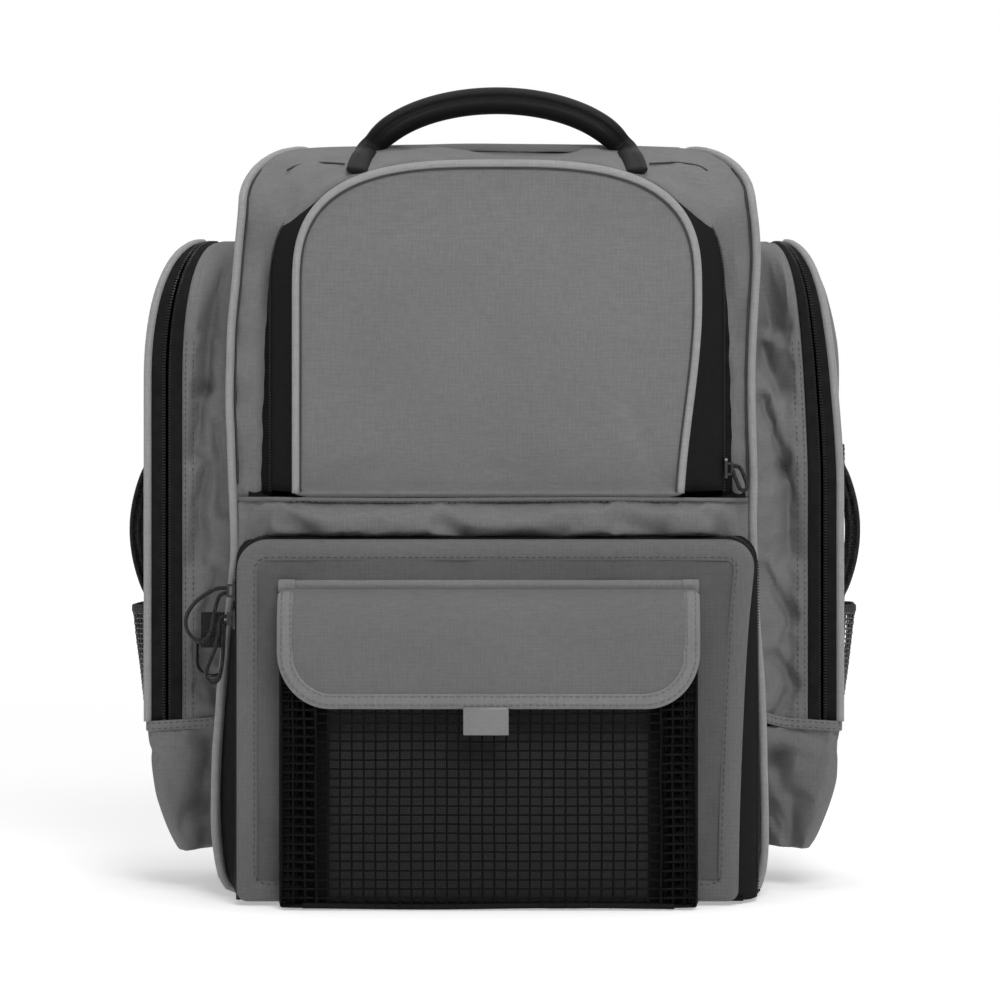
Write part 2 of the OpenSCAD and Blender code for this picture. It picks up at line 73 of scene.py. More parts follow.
DOOR_LOW, DOOR_HIGH = cad("tackle_door_panel")
DOOR_HALF, DOOR_TOP, DOOR_Y = DOOR_HIGH[0], DOOR_HIGH[2], DOOR_LOW[1]
DOOR_BACK = DOOR_HIGH[1]
ARCH_LOW, ARCH_HIGH = cad("upper_door_piping")
ARCH_HALF, ARCH_BOTTOM, ARCH_TOP, ARCH_Y = ARCH_HIGH[0], ARCH_LOW[2], ARCH_HIGH[2], ARCH_LOW[1]
ARCH_SPRING = 368.0
BODY_TOP = cad("top_panel")[1][2]
SEAM_Y = cad("front_yoke")[0][1]
BACK_Y = cad("back_wall")[1][1]
YOKE_BOTTOM = 243.0
PAD_LOW, PAD_HIGH = cad("back_pad")
POUCH_LOW, POUCH_HIGH = cad("pouch_front")
POUCH_X = (POUCH_LOW[0] + POUCH_HIGH[0]) / 2
POUCH_HALF = cad("pouch_bellows")[1][0] - POUCH_X
FLAP_LOW, FLAP_HIGH = cad("pouch_flap_panel")
TAB_LOW, TAB_HIGH = cad("flap_pull_tab")
POCKET_LOW, POCKET_HIGH = cad("right_side_door")
POCKET_OUT = POCKET_HIGH[0]
POCKET_SEAM = POCKET_LOW[2]
POCKET_BASE = cad("right_pocket_base")[0][2]
POCKET_ZIP = 205.0
LOWER_ZIP_Y, UPPER_ZIP_Y = -95.0, -87.3

# Camera: level, in front of the bag, at the middle of its height
CAMERA_PLANE_Y = -115.0
CAMERA_DISTANCE = 1900.0
CAMERA_WIDTH = 600.0
CAMERA_X, CAMERA_Z = 1.8, 243.0


# ---- Curves and numbers ----

def through(knots, t):
    """A smooth curve through (t, value) knots, with values as numbers or tuples."""
    ts = [k[0] for k in knots]
    vs = [np.array(k[1], float) for k in knots]
    t = min(max(t, ts[0]), ts[-1])
    i = max(j for j in range(len(ts) - 1) if ts[j] <= t)
    h = ts[i + 1] - ts[i]
    u = (t - ts[i]) / h

    def slope(j):
        a, b = max(j - 1, 0), min(j + 1, len(ts) - 1)
        return (vs[b] - vs[a]) / (ts[b] - ts[a])

    m0, m1 = slope(i) * h, slope(i + 1) * h
    u2, u3 = u * u, u * u * u
    return ((2 * u3 - 3 * u2 + 1) * vs[i] + (u3 - 2 * u2 + u) * m0
            + (3 * u2 - 2 * u3) * vs[i + 1] + (u3 - u2) * m1)


def ease(a, b, t):
    """0 at a, 1 at b, smooth between them."""
    u = min(max((t - a) / (b - a), 0.0), 1.0)
    return u * u * (3 - 2 * u)


def lerp(a, b, t):
    return a + (b - a) * t


def steps(a, b, n):
    return [a + (b - a) * i / n for i in range(n + 1)]


def ripple(p, size, seed=0.0):
    """Smooth noise, about -1 to 1, with features of about that size in millimetres."""
    return noise.noise(Vector((p[0] / size + seed * 7.13, p[1] / size - seed * 3.7, p[2] / size + seed * 1.9)))


def unit(v):
    """The rows of v, each at length 1."""
    return v / np.maximum(np.linalg.norm(v, axis=1, keepdims=True), 1e-9)


def tangents(path):
    return unit(np.gradient(np.array(path, float), axis=0))


def spread(v, n):
    """One vector, or a row of them, as n vectors at even spacing."""
    v = np.array(v, float)
    if v.ndim == 1:
        return np.tile(v, (n, 1))
    s = np.linspace(0, len(v) - 1, n)
    return np.stack([np.interp(s, np.arange(len(v)), v[:, k]) for k in range(3)], axis=1)


def resample(path, spacing):
    """The path's points at even spacing, and the tangent at each."""
    path = np.array(path, float)
    seg = np.linalg.norm(np.diff(path, axis=0), axis=1)
    s = np.concatenate([[0], np.cumsum(seg)])
    n = max(2, int(round(s[-1] / spacing)) + 1)
    at = np.linspace(0, s[-1], n)
    pts = np.stack([np.interp(at, s, path[:, k]) for k in range(3)], axis=1)
    return pts, tangents(pts)


def arc(cx, cy, r, a0, a1, n):
    """Points along a circle's arc, from a0 to a1 degrees."""
    return [(cx + r * math.cos(math.radians(a)), cy + r * math.sin(math.radians(a))) for a in steps(a0, a1, n)]


def fillet(points, radius, n=5):
    """A polyline with its inner corners rounded."""
    pts = [np.array(p, float) for p in points]
    out = [pts[0]]
    for a, b, c in zip(pts, pts[1:], pts[2:]):
        r = min(radius, np.linalg.norm(b - a) * 0.48, np.linalg.norm(c - b) * 0.48)
        p = b + (a - b) / np.linalg.norm(a - b) * r
        q = b + (c - b) / np.linalg.norm(c - b) * r
        out += [(1 - t) ** 2 * p + 2 * t * (1 - t) * b + t * t * q for t in steps(0, 1, n)]
    return out + [pts[-1]]


# ---- Meshes ----

def mesh(name, verts, faces, material, smooth=True, lining=None):
    """A mesh object from millimetre points. lining is a second material, for a solidified sheet's inside."""
    data = bpy.data.meshes.new(name)
    data.from_pydata([tuple(float(c) * MM for c in v) for v in verts], [], faces)
    data.update()
    obj = bpy.data.objects.new(name, data)
    bpy.context.scene.collection.objects.link(obj)
    data.materials.append(material)
    if lining is not None:
        data.materials.append(lining)
    if smooth:
        data.polygons.foreach_set("use_smooth", [True] * len(data.polygons))
    return obj


def face_out(obj, away_from=None, direction=None):
    """Turns an open sheet so that its normals point away from a point, or along a direction."""
    total = 0.0
    for f in obj.data.polygons:
        way = Vector(direction) if direction is not None else f.center - Vector(away_from) * MM
        total += f.normal.dot(way) * f.area
    if total < 0:
        obj.data.flip_normals()
    return obj


def grid_faces(rows, cols, close_rows=False, close_cols=False):
    faces = []
    for i in range(rows if close_rows else rows - 1):
        for j in range(cols if close_cols else cols - 1):
            a, b = i % rows, (i + 1) % rows
            c, d = j % cols, (j + 1) % cols
            faces.append((a * cols + c, a * cols + d, b * cols + d, b * cols + c))
    return faces


def sheet(name, rows, material, away_from=None, direction=None, lining=None, close_rows=False, close_cols=False):
    """A sheet through a grid of points."""
    faces = grid_faces(len(rows), len(rows[0]), close_rows, close_cols)
    obj = mesh(name, [p for r in rows for p in r], faces, material, lining=lining)
    if away_from is not None or direction is not None:
        face_out(obj, away_from, direction)
    return obj


def thicken(obj, thickness, lining=False):
    m = obj.modifiers.new("Thickness", "SOLIDIFY")
    m.thickness = thickness * MM
    m.offset = -1.0
    m.use_even_offset = False
    if lining:
        m.material_offset = 1
        m.material_offset_rim = 0
    return obj


def subdivide(obj):
    m = obj.modifiers.new("Smooth", "SUBSURF")
    m.levels = m.render_levels = 1
    return obj


def sweep_data(path, section, side):
    """Points and faces of a capped tube; section may be one list of (a, b) or one list for each path point.

    a runs along side, which stays as close to it as it can, and b across it."""
    path = np.array(path, float)
    n = len(path)
    tan = tangents(path)
    side = np.array(side, float)
    if side.ndim == 1:
        side = np.tile(side, (n, 1))
    a = unit(side - (side * tan).sum(1, keepdims=True) * tan)
    b = np.cross(tan, a)
    sections = section if isinstance(section[0][0], (tuple, list, np.ndarray)) else [section] * n
    m = len(sections[0])
    verts = [path[i] + (p * a[i] + q * b[i]) for i in range(n) for p, q in sections[i]]
    faces = grid_faces(n, m, close_cols=True)
    faces += [tuple(range(m)), tuple((n - 1) * m + j for j in reversed(range(m)))]
    return verts, faces


def sweep(name, path, section, side, material):
    return fix_normals(mesh(name, *sweep_data(path, section, side), material))


def joined(name, parts, material):
    """One object from several (points, faces)."""
    verts, faces = [], []
    for v, f in parts:
        faces += [tuple(k + len(verts) for k in q) for q in f]
        verts += list(v)
    return fix_normals(mesh(name, verts, faces, material))


def thread(name, path, r, side, material=None):
    """A thin round cord along a path, with six sides."""
    return sweep(name, path, circle(r, 6), side, material or DARK_THREAD)


def fix_normals(obj):
    bm = bmesh.new()
    bm.from_mesh(obj.data)
    bmesh.ops.recalc_face_normals(bm, faces=bm.faces)
    bm.to_mesh(obj.data)
    bm.free()
    return obj


def circle(r, n=10):
    return [(r * math.cos(2 * math.pi * k / n), r * math.sin(2 * math.pi * k / n)) for k in range(n)]


def strap_section(w, t, n=3):
    """A flat strap's section with round edges."""
    pts = []
    for cx, a0 in ((w / 2 - t / 2, -90), (-w / 2 + t / 2, 90)):
        for k in range(n + 1):
            a = math.radians(a0 + 180 * k / n)
            pts.append((cx + t / 2 * math.cos(a), t / 2 * math.sin(a)))
    return pts


def tubes(name, paths, radius, material, side):
    """Several tubes in one object."""
    return joined(name, [sweep_data(path, circle(radius, 5), side) for path in paths], material)


STITCH = [(-0.5, -0.5, 0.55), (-0.3, 0.35, 1.0), (0.3, 0.35, 1.0), (0.5, -0.5, 0.55)]


def stitches(name, path, normal, material, length, gap, r):
    """A row of sewn stitches along a path: each is a short thread that dips into the cloth at its ends."""
    pts, tan = resample(path, length + gap)
    normals = unit(spread(normal, len(pts)))
    parts = []
    for p, t, n in zip(pts[:-1] + (pts[1:] - pts[:-1]) / 2, tan[:-1], normals[:-1]):
        line = [p + t * u * length + n * h * r for u, h, _ in STITCH]
        parts.append(sweep_data(line, [circle(r * k, 5) for _, _, k in STITCH], n))
    return joined(name, parts, material)


RIB = [(-0.5, 0.0), (-0.42, 0.75), (0.0, 1.0), (0.42, 0.75), (0.5, 0.0)]
RIB_WIDTH, RIB_LENGTH = 2.3, 0.95


def ribs(name, path, across, out, pitch=1.7):
    """Zip coil: a row of rounded ribs across the path. across and out are one vector, or one per path point."""
    pts, tan = resample(path, pitch)
    count = len(RIB)
    verts, faces = [], []
    for p, t, a, o in zip(pts, tan, unit(spread(across, len(pts))), unit(spread(out, len(pts)))):
        base = len(verts)
        for s in (-0.5, 0.5):
            for u, h in RIB:
                k = 0.7 if h > 0.9 else 1.0
                verts.append(p + a * (u * RIB_WIDTH) + o * h + t * s * RIB_LENGTH * k)
        faces += [(base + k, base + k + 1, base + count + k + 1, base + count + k) for k in range(count - 1)]
        faces += [tuple(base + k for k in reversed(range(count))), tuple(base + count + k for k in range(count)),
                  (base, base + count, base + 2 * count - 1, base + count - 1)]
    return fix_normals(mesh(name, verts, faces, COIL, smooth=False))


def ride(obj, body, replaces=()):
    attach(obj, body)
    if replaces:
        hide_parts(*replaces)
    return obj


def blended(obj, slot, bodies, start, end, replaces=()):
    """Hides the parts that the piece replaces and bakes its transform into its mesh; it does not go over from one
    body to another, and slot, bodies, start and end are not used.
    """
    if replaces:
        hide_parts(*replaces)
    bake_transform(obj)


# ---- Cloth: sheets that are sewn into a frame a little too small for them, so that they wrinkle ----

SEWN = []


def sewn(obj, grow, cap, stiff, pin=None):
    """Puts obj down for the cloth run. pin(index, point) says what is sewn on, besides the sheet's edge."""
    bm = bmesh.new()
    bm.from_mesh(obj.data)
    fixed = [v.index for v in bm.verts if v.is_boundary or (pin and pin(v.index, np.array(v.co) / MM))]
    bm.free()
    obj.vertex_groups.new(name="sewn").add(fixed, 1.0, "REPLACE")
    SEWN.append((obj, grow, cap, stiff, np.array([v.co for v in obj.data.vertices])))


CLOTH_FRAMES = 22


def run_cloth():
    """Simulates all the sewn sheets together and applies the result."""
    scene = bpy.context.scene
    waiting = []
    for obj, grow, cap, stiff, rest in SEWN:
        others = [(m.name, m.show_viewport) for m in obj.modifiers]
        for m in obj.modifiers:
            m.show_viewport = False
        m = obj.modifiers.new("Cloth", "CLOTH")
        s = m.settings
        s.vertex_group_mass = "sewn"
        s.quality = 6
        s.mass = 0.25
        s.tension_stiffness = s.compression_stiffness = 12
        s.shear_stiffness = 6
        s.bending_stiffness = stiff
        s.air_damping = 2.0
        s.shrink_min = s.shrink_max = -grow
        s.effector_weights.gravity = 0.0
        m.collision_settings.use_collision = False
        m.point_cache.frame_start, m.point_cache.frame_end = 1, CLOTH_FRAMES + 1
        waiting.append((obj, m, others, cap, rest))
    for f in range(1, CLOTH_FRAMES + 1):
        scene.frame_set(f)
    graph = bpy.context.evaluated_depsgraph_get()
    for obj, m, others, cap, rest in waiting:
        done = obj.evaluated_get(graph).to_mesh()
        now = np.array([v.co for v in done.vertices])
        obj.evaluated_get(graph).to_mesh_clear()
        move = now - rest
        size = np.linalg.norm(move, axis=1, keepdims=True)
        limit = cap * MM
        move *= np.where(size > 1e-9, limit * np.tanh(size / limit) / np.maximum(size, 1e-9), 0)
        obj.modifiers.remove(m)
        obj.data.vertices.foreach_set("co", (rest + move).astype(np.float32).ravel())
        obj.data.update()
        obj.vertex_groups.clear()
        for name, shown in others:
            obj.modifiers[name].show_viewport = shown
    scene.frame_set(1)


# ---- Materials ----

class Nodes:
    """A small helper for writing a material's nodes."""

    def __init__(self, name, rough=0.8, metallic=0.0, sheen=0.0, coat=0.0, specular=0.5):
        self.material = bpy.data.materials.new(name)
        self.material.use_nodes = True
        self.tree = self.material.node_tree
        self.shader = self.tree.nodes["Principled BSDF"]
        self.set(self.shader, "Roughness", rough)
        self.set(self.shader, "Metallic", metallic)
        self.set(self.shader, "Sheen Weight", sheen)
        self.set(self.shader, "Sheen Roughness", 0.5)
        self.set(self.shader, "Coat Weight", coat)
        self.set(self.shader, "Specular IOR Level", specular)
        self.place = self.add("ShaderNodeTexCoord").outputs["Object"]

    @staticmethod
    def set(node, socket, value):
        node.inputs[socket].default_value = value

    def add(self, kind, **props):
        node = self.tree.nodes.new(kind)
        for k, v in props.items():
            setattr(node, k, v)
        return node

    def link(self, a, b):
        self.tree.links.new(a, b)

    def math(self, op, a, b=0.0, c=0.0):
        node = self.add("ShaderNodeMath", operation=op)
        for k, v in enumerate((a, b, c)):
            if isinstance(v, (int, float)):
                node.inputs[k].default_value = v
            else:
                self.link(v, node.inputs[k])
        return node.outputs[0]

    def scaled(self, factors):
        node = self.add("ShaderNodeVectorMath", operation="MULTIPLY")
        self.link(self.place, node.inputs[0])
        node.inputs[1].default_value = factors
        return node.outputs[0]

    def noise(self, scale, detail=3.0, stretch=(1, 1, 1), rough=0.55):
        node = self.add("ShaderNodeTexNoise")
        self.link(self.scaled(stretch), node.inputs["Vector"])
        self.set(node, "Scale", scale)
        self.set(node, "Detail", detail)
        self.set(node, "Roughness", rough)
        return node.outputs["Fac"]

    def waves(self, pitch_mm):
        """Threads: a sine along each axis, less of it where the surface faces along that axis."""
        along = self.add("ShaderNodeSeparateXYZ")
        k = 2 * math.pi / (pitch_mm * MM)
        self.link(self.scaled((k, k, k)), along.inputs[0])
        facing = self.add("ShaderNodeSeparateXYZ")
        self.link(self.add("ShaderNodeNewGeometry").outputs["Normal"], facing.inputs[0])
        total = 0.0
        for i in range(3):
            share = self.math("POWER", self.math("SUBTRACT", 1.0, self.math("ABSOLUTE", facing.outputs[i])), 1.5)
            total = self.math("MULTIPLY_ADD", self.math("SINE", along.outputs[i]), share, total)
        return total

    def ramp(self, factor, stops):
        node = self.add("ShaderNodeValToRGB")
        self.link(factor, node.inputs[0])
        while len(node.color_ramp.elements) < len(stops):
            node.color_ramp.elements.new(0.5)
        for e, (at, colour) in zip(node.color_ramp.elements, stops):
            e.position = at
            e.color = (*colour, 1.0)
        return node.outputs[0]

    def tinted(self, colour, factor, spread):
        """colour, a little darker or lighter as factor changes."""
        return self.ramp(factor, [(0.3, tuple(c * (1 - spread) for c in colour)),
                                  (0.7, tuple(c * (1 + spread) for c in colour))])

    def shade(self, colour, factor):
        """colour, darkened or lightened by a grey factor round 1."""
        node = self.add("ShaderNodeMix", data_type="RGBA", blend_type="MULTIPLY")
        self.set(node, 0, 1.0)
        self.link(colour, node.inputs[6])
        self.link(factor, node.inputs[7])
        return node.outputs[2]

    def bump(self, height, distance_mm, strength=1.0, under=None):
        node = self.add("ShaderNodeBump")
        self.set(node, "Strength", strength)
        self.set(node, "Distance", distance_mm * MM)
        self.link(height, node.inputs["Height"])
        if under is not None:
            self.link(under, node.inputs["Normal"])
        return node.outputs["Normal"]

    def finish(self, colour, normal=None):
        self.link(colour, self.shader.inputs["Base Color"])
        if normal is not None:
            self.link(normal, self.shader.inputs["Normal"])
        return self.material


def grey_ramp(n, factor, low, high):
    """A grey multiplier from low to high, as factor goes from 0.3 to 0.7."""
    return n.ramp(factor, [(0.3, (low,) * 3), (0.7, (high,) * 3)])


def woven(name, colour, weave=0.8, depth=0.09, melange=0.13, rough=0.85, sheen=0.08, wear=0.05, specular=0.2):
    """Plain-woven polyester: crossing threads, short streaks along both yarns, and a slow mottle."""
    n = Nodes(name, rough=rough, sheen=sheen, specular=specular)
    threads = n.waves(weave)
    yarns = n.math("ADD", n.noise(1.0, 2.0, (1100, 1100, 130)), n.noise(1.0, 2.0, (130, 130, 1100)))
    c = n.tinted(colour, n.math("MULTIPLY", yarns, 0.5), melange)
    c = n.shade(c, grey_ramp(n, n.noise(9.0, 4.0), 1 - wear, 1 + wear))
    tone = n.math("MULTIPLY_ADD", threads, 0.25, 0.5)
    c = n.shade(c, n.ramp(tone, [(0.0, (0.86,) * 3), (1.0, (1.14,) * 3)]))
    slow = n.bump(n.noise(330.0, 3.0), 0.16, 0.8)
    return n.finish(c, n.bump(threads, depth, 0.8, slow))


def webbing(name, colour, pitch=1.9, rough=0.6, sheen=0.05, specular=0.25, depth=0.22, mottle=0.2):
    """Webbing: ribs with a finer thread across them."""
    n = Nodes(name, rough=rough, sheen=sheen, specular=specular)
    c = n.tinted(colour, n.noise(500.0, 2.0), mottle)
    return n.finish(c, n.bump(n.waves(0.7), depth / 4, 0.5, n.bump(n.waves(pitch), depth, 0.9)))


def zip_tape(name, colour):
    """Zip tape: a fine herringbone with long ribs."""
    n = Nodes(name, rough=0.75, specular=0.12)
    c = n.tinted(colour, n.noise(120.0, 3.0), 0.35)
    return n.finish(c, n.bump(n.waves(0.9), 0.08, 0.8))


def coated(name, colour, rough=0.35, grain=600.0, coat=0.0, depth=0.05, metallic=0.0, specular=0.4):
    """Coated wire, moulded plastic or plated metal, with a fine uneven skin."""
    n = Nodes(name, rough=rough, coat=coat, metallic=metallic, specular=specular)
    c = n.tinted(colour, n.noise(40.0, 3.0), 0.17)
    n.link(n.math("MULTIPLY_ADD", n.noise(90.0, 3.0), 0.25, rough - 0.12), n.shader.inputs["Roughness"])
    return n.finish(c, n.bump(n.noise(grain, 2.0), depth, 0.6))


GREY = woven("Grey woven polyester", (0.150, 0.147, 0.148))
DOOR_GREY = woven("Darker woven polyester", (0.092, 0.089, 0.091))
BINDING = woven("Grey binding", (0.118, 0.115, 0.117))
FLAP_GREY = woven("Flap woven polyester", (0.132, 0.129, 0.130))
FLAP_EDGE = woven("Flap binding", (0.185, 0.182, 0.183))
PIPING = woven("Light grey piping", (0.240, 0.237, 0.237), depth=0.04, rough=0.55, sheen=0.2)
THREAD = coated("Grey thread", (0.13, 0.128, 0.128), rough=0.6, grain=2500)
DARK_THREAD = coated("Dark thread", (0.045, 0.044, 0.045), rough=0.7, grain=2500, specular=0.2)
BLACK_THREAD = coated("Black thread", (0.012, 0.012, 0.013), rough=0.6, grain=2500)
BLACK = woven("Black polyester", (0.0085, 0.0085, 0.009), melange=0.2, sheen=0.0, specular=0.12)
LINING = woven("Black lining", (0.008, 0.008, 0.009), melange=0.15, sheen=0.0, specular=0.1)
# Painted shade: the door's grey cloth behind the pouch mesh, darkened to the tone it has in shade
POUCH_BACK_PAINTED_SHADE = woven("Pouch back, painted shade", (0.0370, 0.0370, 0.0375), weave=1.3, melange=0.15, sheen=0.0, specular=0.15)
TAPE = zip_tape("Zip tape", (0.0070, 0.0070, 0.0075))
COIL = coated("Zip coil", (0.009, 0.009, 0.010), rough=0.42, grain=1500, specular=0.3)
MESH = coated("Coated mesh", (0.0035, 0.0035, 0.004), rough=0.55, grain=900, depth=0.08, specular=0.08)
SLEEVE = coated("Sleeve mesh", (0.05, 0.05, 0.052), rough=0.35, grain=900, depth=0.08)
WEBBING = webbing("Black webbing", (0.009, 0.009, 0.010))
TAB = webbing("Grey pull webbing", (0.165, 0.163, 0.163), pitch=1.6, rough=0.42, sheen=0.2, specular=0.4,
              depth=0.03, mottle=0.04)
GRIP = woven("Grip cover", (0.0042, 0.0042, 0.0046), weave=0.9, melange=0.15, rough=0.6, sheen=0.0, specular=0.22)
FOAM = woven("Strap cover", (0.010, 0.010, 0.0105), weave=1.1, melange=0.2, sheen=0.03, specular=0.2)
AIR_MESH = woven("Spacer mesh", (0.0115, 0.0115, 0.012), weave=2.4, depth=0.4, melange=0.25, sheen=0.05)
CORD = webbing("Braided cord", (0.010, 0.010, 0.011), pitch=1.1, rough=0.5, specular=0.35)
METAL = coated("Black plated metal", (0.055, 0.055, 0.058), rough=0.28, metallic=0.9, grain=500, depth=0.02)
PLASTIC = coated("Black acetal", (0.010, 0.010, 0.011), rough=0.36, coat=0.1)
BOARD = coated("Black board", (0.016, 0.016, 0.017), rough=0.5)


# ---- Stage ----

def stage():
    scene = bpy.context.scene
    scene.view_settings.view_transform = "Standard"
    camera = bpy.data.objects.new("Camera", bpy.data.cameras.new("Camera"))
    scene.collection.objects.link(camera)
    camera.location = (CAMERA_X * MM, (CAMERA_PLANE_Y - CAMERA_DISTANCE) * MM, CAMERA_Z * MM)
    camera.rotation_euler = (math.pi / 2, 0, 0)
    camera.data.sensor_width = 36.0
    camera.data.lens = 36.0 * CAMERA_DISTANCE / CAMERA_WIDTH
    camera.data.clip_start, camera.data.clip_end = 0.05, 100
    scene.camera = camera

    # Floor: pale, with a glow that grows with distance so that it meets the background without a line
    data = bpy.data.meshes.new("Floor")
    s = 30.0
    data.from_pydata([(-s, -s, 0), (s, -s, 0), (s, s, 0), (-s, s, 0)], [], [(0, 1, 2, 3)])
    floor = bpy.data.objects.new("Floor", data)
    scene.collection.objects.link(floor)
    n = Nodes("Pale floor", rough=0.9, specular=0.1)
    away = n.add("ShaderNodeVectorMath", operation="LENGTH")
    n.link(n.place, away.inputs[0])
    glow = n.add("ShaderNodeMapRange")
    n.link(away.outputs["Value"], glow.inputs["Value"])
    for socket, value in (("From Min", 0.7), ("From Max", 3.5), ("To Min", 0.38), ("To Max", 0.8)):
        n.set(glow, socket, value)
    n.set(n.shader, "Emission Color", (1, 1, 1, 1))
    n.link(glow.outputs["Result"], n.shader.inputs["Emission Strength"])
    data.materials.append(n.finish(grey_ramp(n, n.noise(3.0, 2.0), 0.73, 0.75)))

    # World: bright behind the bag, dimmer in front of it
    world = bpy.data.worlds.new("Studio")
    scene.world = world
    world.use_nodes = True
    tree = world.node_tree
    place = tree.nodes.new("ShaderNodeTexCoord")
    split = tree.nodes.new("ShaderNodeSeparateXYZ")
    span = tree.nodes.new("ShaderNodeMapRange")
    tree.links.new(place.outputs["Generated"], split.inputs[0])
    tree.links.new(split.outputs["Y"], span.inputs["Value"])
    for socket, value in (("From Min", 0.0), ("From Max", 0.8), ("To Min", 0.17), ("To Max", 1.0)):
        span.inputs[socket].default_value = value
    tree.links.new(span.outputs["Result"], tree.nodes["Background"].inputs[1])
    tree.nodes["Background"].inputs[0].default_value = (1, 1, 1, 1)

    def area(name, place, aim, size, power):
        light = bpy.data.objects.new(name, bpy.data.lights.new(name, "AREA"))
        light.data.shape = "DISK"
        light.data.size = size
        light.data.energy = power
        light.location = place
        light.rotation_euler = (Vector(aim) - Vector(place)).to_track_quat("-Z", "Y").to_euler()
        scene.collection.objects.link(light)

    area("Key", (0.45, -1.75, 1.65), (0, 0, 0.25), 1.1, 33)
    area("Fill", (-1.5, -1.3, 0.7), (0, 0, 0.25), 1.2, 3)
    area("Top", (0.1, -0.1, 2.2), (0, 0, 0.4), 1.0, 16)


stage()


# ---- Cords: the zip pulls, along the routes that part.scad sweeps ----

CORD_D = 2.5
CORD_ROUTES = {
    "lower_pull_cord_a": [
        (-163.8, -95, 189.6), (-167, -95, 189.6), (-170.6, -95.5, 189), (-175, -96.6, 186.8),
        (-180.5, -97.8, 183), (-185.5, -98.6, 177.6), (-188.3, -99, 171), (-187.6, -99, 164.4),
        (-183.8, -98.8, 159.2), (-178.6, -98.4, 157.6), (-174.6, -97.8, 160.4), (-172.7, -97, 166),
        (-171.6, -96.3, 172.6), (-170.4, -95.6, 179), (-168.7, -95.2, 184), (-166.4, -95, 186.2),
        (-163.8, -95, 186.5)],
    "lower_pull_cord_b": [
        (-163.8, -95, 172.5), (-166, -95.2, 172.2), (-167.9, -95.8, 169.8), (-168.6, -96.8, 165.4),
        (-169.2, -98.2, 159.5), (-170.8, -99.8, 152.5), (-173.4, -100.8, 146), (-175.6, -101.2, 140),
        (-175, -101, 134.6), (-171.7, -100.6, 132.4), (-168.6, -100, 134.6), (-167, -99.2, 140),
        (-166.2, -98.4, 147), (-165.8, -97.4, 154.5), (-165.6, -96.4, 161.5), (-165.3, -95.5, 166.4),
        (-163.8, -95, 169.4)],
    "upper_pull_cord": [
        (143.8, -87.3, 263.5), (145.7, -87.6, 263.6), (147.7, -88.6, 262.6), (149.3, -90.2, 259.8),
        (150.5, -91.6, 256.2), (151.7, -92.8, 252.6), (151.7, -93.6, 250), (149.7, -93.8, 248.7),
        (147.5, -93.2, 249.8), (146.3, -92.2, 252.4), (145.1, -90.8, 255.6), (144.1, -89.2, 258.2),
        (143.9, -87.8, 260), (143.8, -87.3, 260.6)],
}
CORD_BODIES = {"lower_pull_cord_a": "tackle_slider_upper", "lower_pull_cord_b": "tackle_slider_lower",
               "upper_pull_cord": "upper_door_slider"}


def spline(points, per):
    """A Catmull-Rom curve through points."""
    p = [np.array(q, float) for q in points]
    p = [2 * p[0] - p[1]] + p + [2 * p[-1] - p[-2]]
    out = []
    for a, b, c, d in zip(p, p[1:], p[2:], p[3:]):
        for k in range(per):
            t = k / per
            out.append(0.5 * ((2 * b) + (c - a) * t + (2 * a - 5 * b + 4 * c - d) * t * t
                              + (3 * b - a - 3 * c + d) * t ** 3))
    return out + [p[-2]]


def path_length(path):
    path = np.array(path)
    return float(np.linalg.norm(np.diff(path, axis=0), axis=1).sum())


def cords():
    for node, route in CORD_ROUTES.items():
        path = spline(route, 4)
        obj = sweep(f"{node}_braid", path, circle(CORD_D / 2, 12), (0.1, 1, 0.05), CORD)
        ride(obj, CORD_BODIES[node], [node])


cords()


# ---- The body's shape ----

CORNER = 34.0                       # radius of the shoulders, seen from the front
ROLL_FRONT, ROLL_BACK = 50.0, 45.0  # radii of the top, seen from the side
ROLL_START = BODY_TOP - ROLL_FRONT
ROLL_END = ROLL_START + ROLL_FRONT * math.pi / 2
SHOULDER_X = 120.0                  # where the shoulders start
SHOULDER_Z = BODY_TOP - CORNER
TOP_CROWN = 2.2                     # how far the top rises towards its middle
# Where the front seams run: the slack fabric swells low down and pulls in above the step
LEFT_EDGE = [(0, -158), (14, -167), (60, -171), (125, -167.5), (170, -163), (207, -159.5), (245, -160),
             (300, -162), (345, -161), (385, -157.5), (428, -154)]
RIGHT_EDGE = [(0, 154), (12, 160), (40, 162), (125, 160), (165, 157), (219, 155), (255, 155.5), (295, 154),
              (335, 154.5), (385, 157), (410, 156), (428, 154)]
DOORWAY = [(243, 20.5), (341, 16.4), (385, 12.5), (402, 8.0), (413, 3.2), (422, 0.8), (452, 0.8)]
DOOR_LEAN = [(0, -11.5), (54, -10.5), (109, -8.5), (164, -5.5), (195, -2.5), (219, 0.0)]

# Folds: (x, z) of both ends, width and depth; x counts outwards from the middle on the pockets
YOKE_FOLDS = [((-152, 300), (-140, 292), 5, 2.4), ((-150, 330), (-144, 345), 6, 2.2),
              ((-152, 268), (-145, 258), 5, 2.0), ((146, 296), (150, 280), 5, 2.4),
              ((146, 340), (149, 362), 6, 3.0), ((140, 404), (128, 414), 6, 2.4),
              ((-140, 402), (-128, 412), 6, 2.4), ((-112, 436), (-96, 441), 5, 2.0),
              ((112, 436), (98, 441), 5, 2.0)]
DOOR_FOLDS = [((84, 296), (108, 254), 8, 2.6), ((-70, 262), (-104, 252), 7, 1.6),
              ((-18, 268), (30, 256), 10, 1.6)]
BAND_FOLDS = [((-130, 231), (-112, 223), 7, 6.0), ((-34, 230), (-20, 222), 5.5, 5.0),
              ((-18, 223), (40, 222), 4, 3.0), ((74, 231), (98, 222), 7, 5.0),
              ((128, 233), (142, 223), 5, 4.0)]
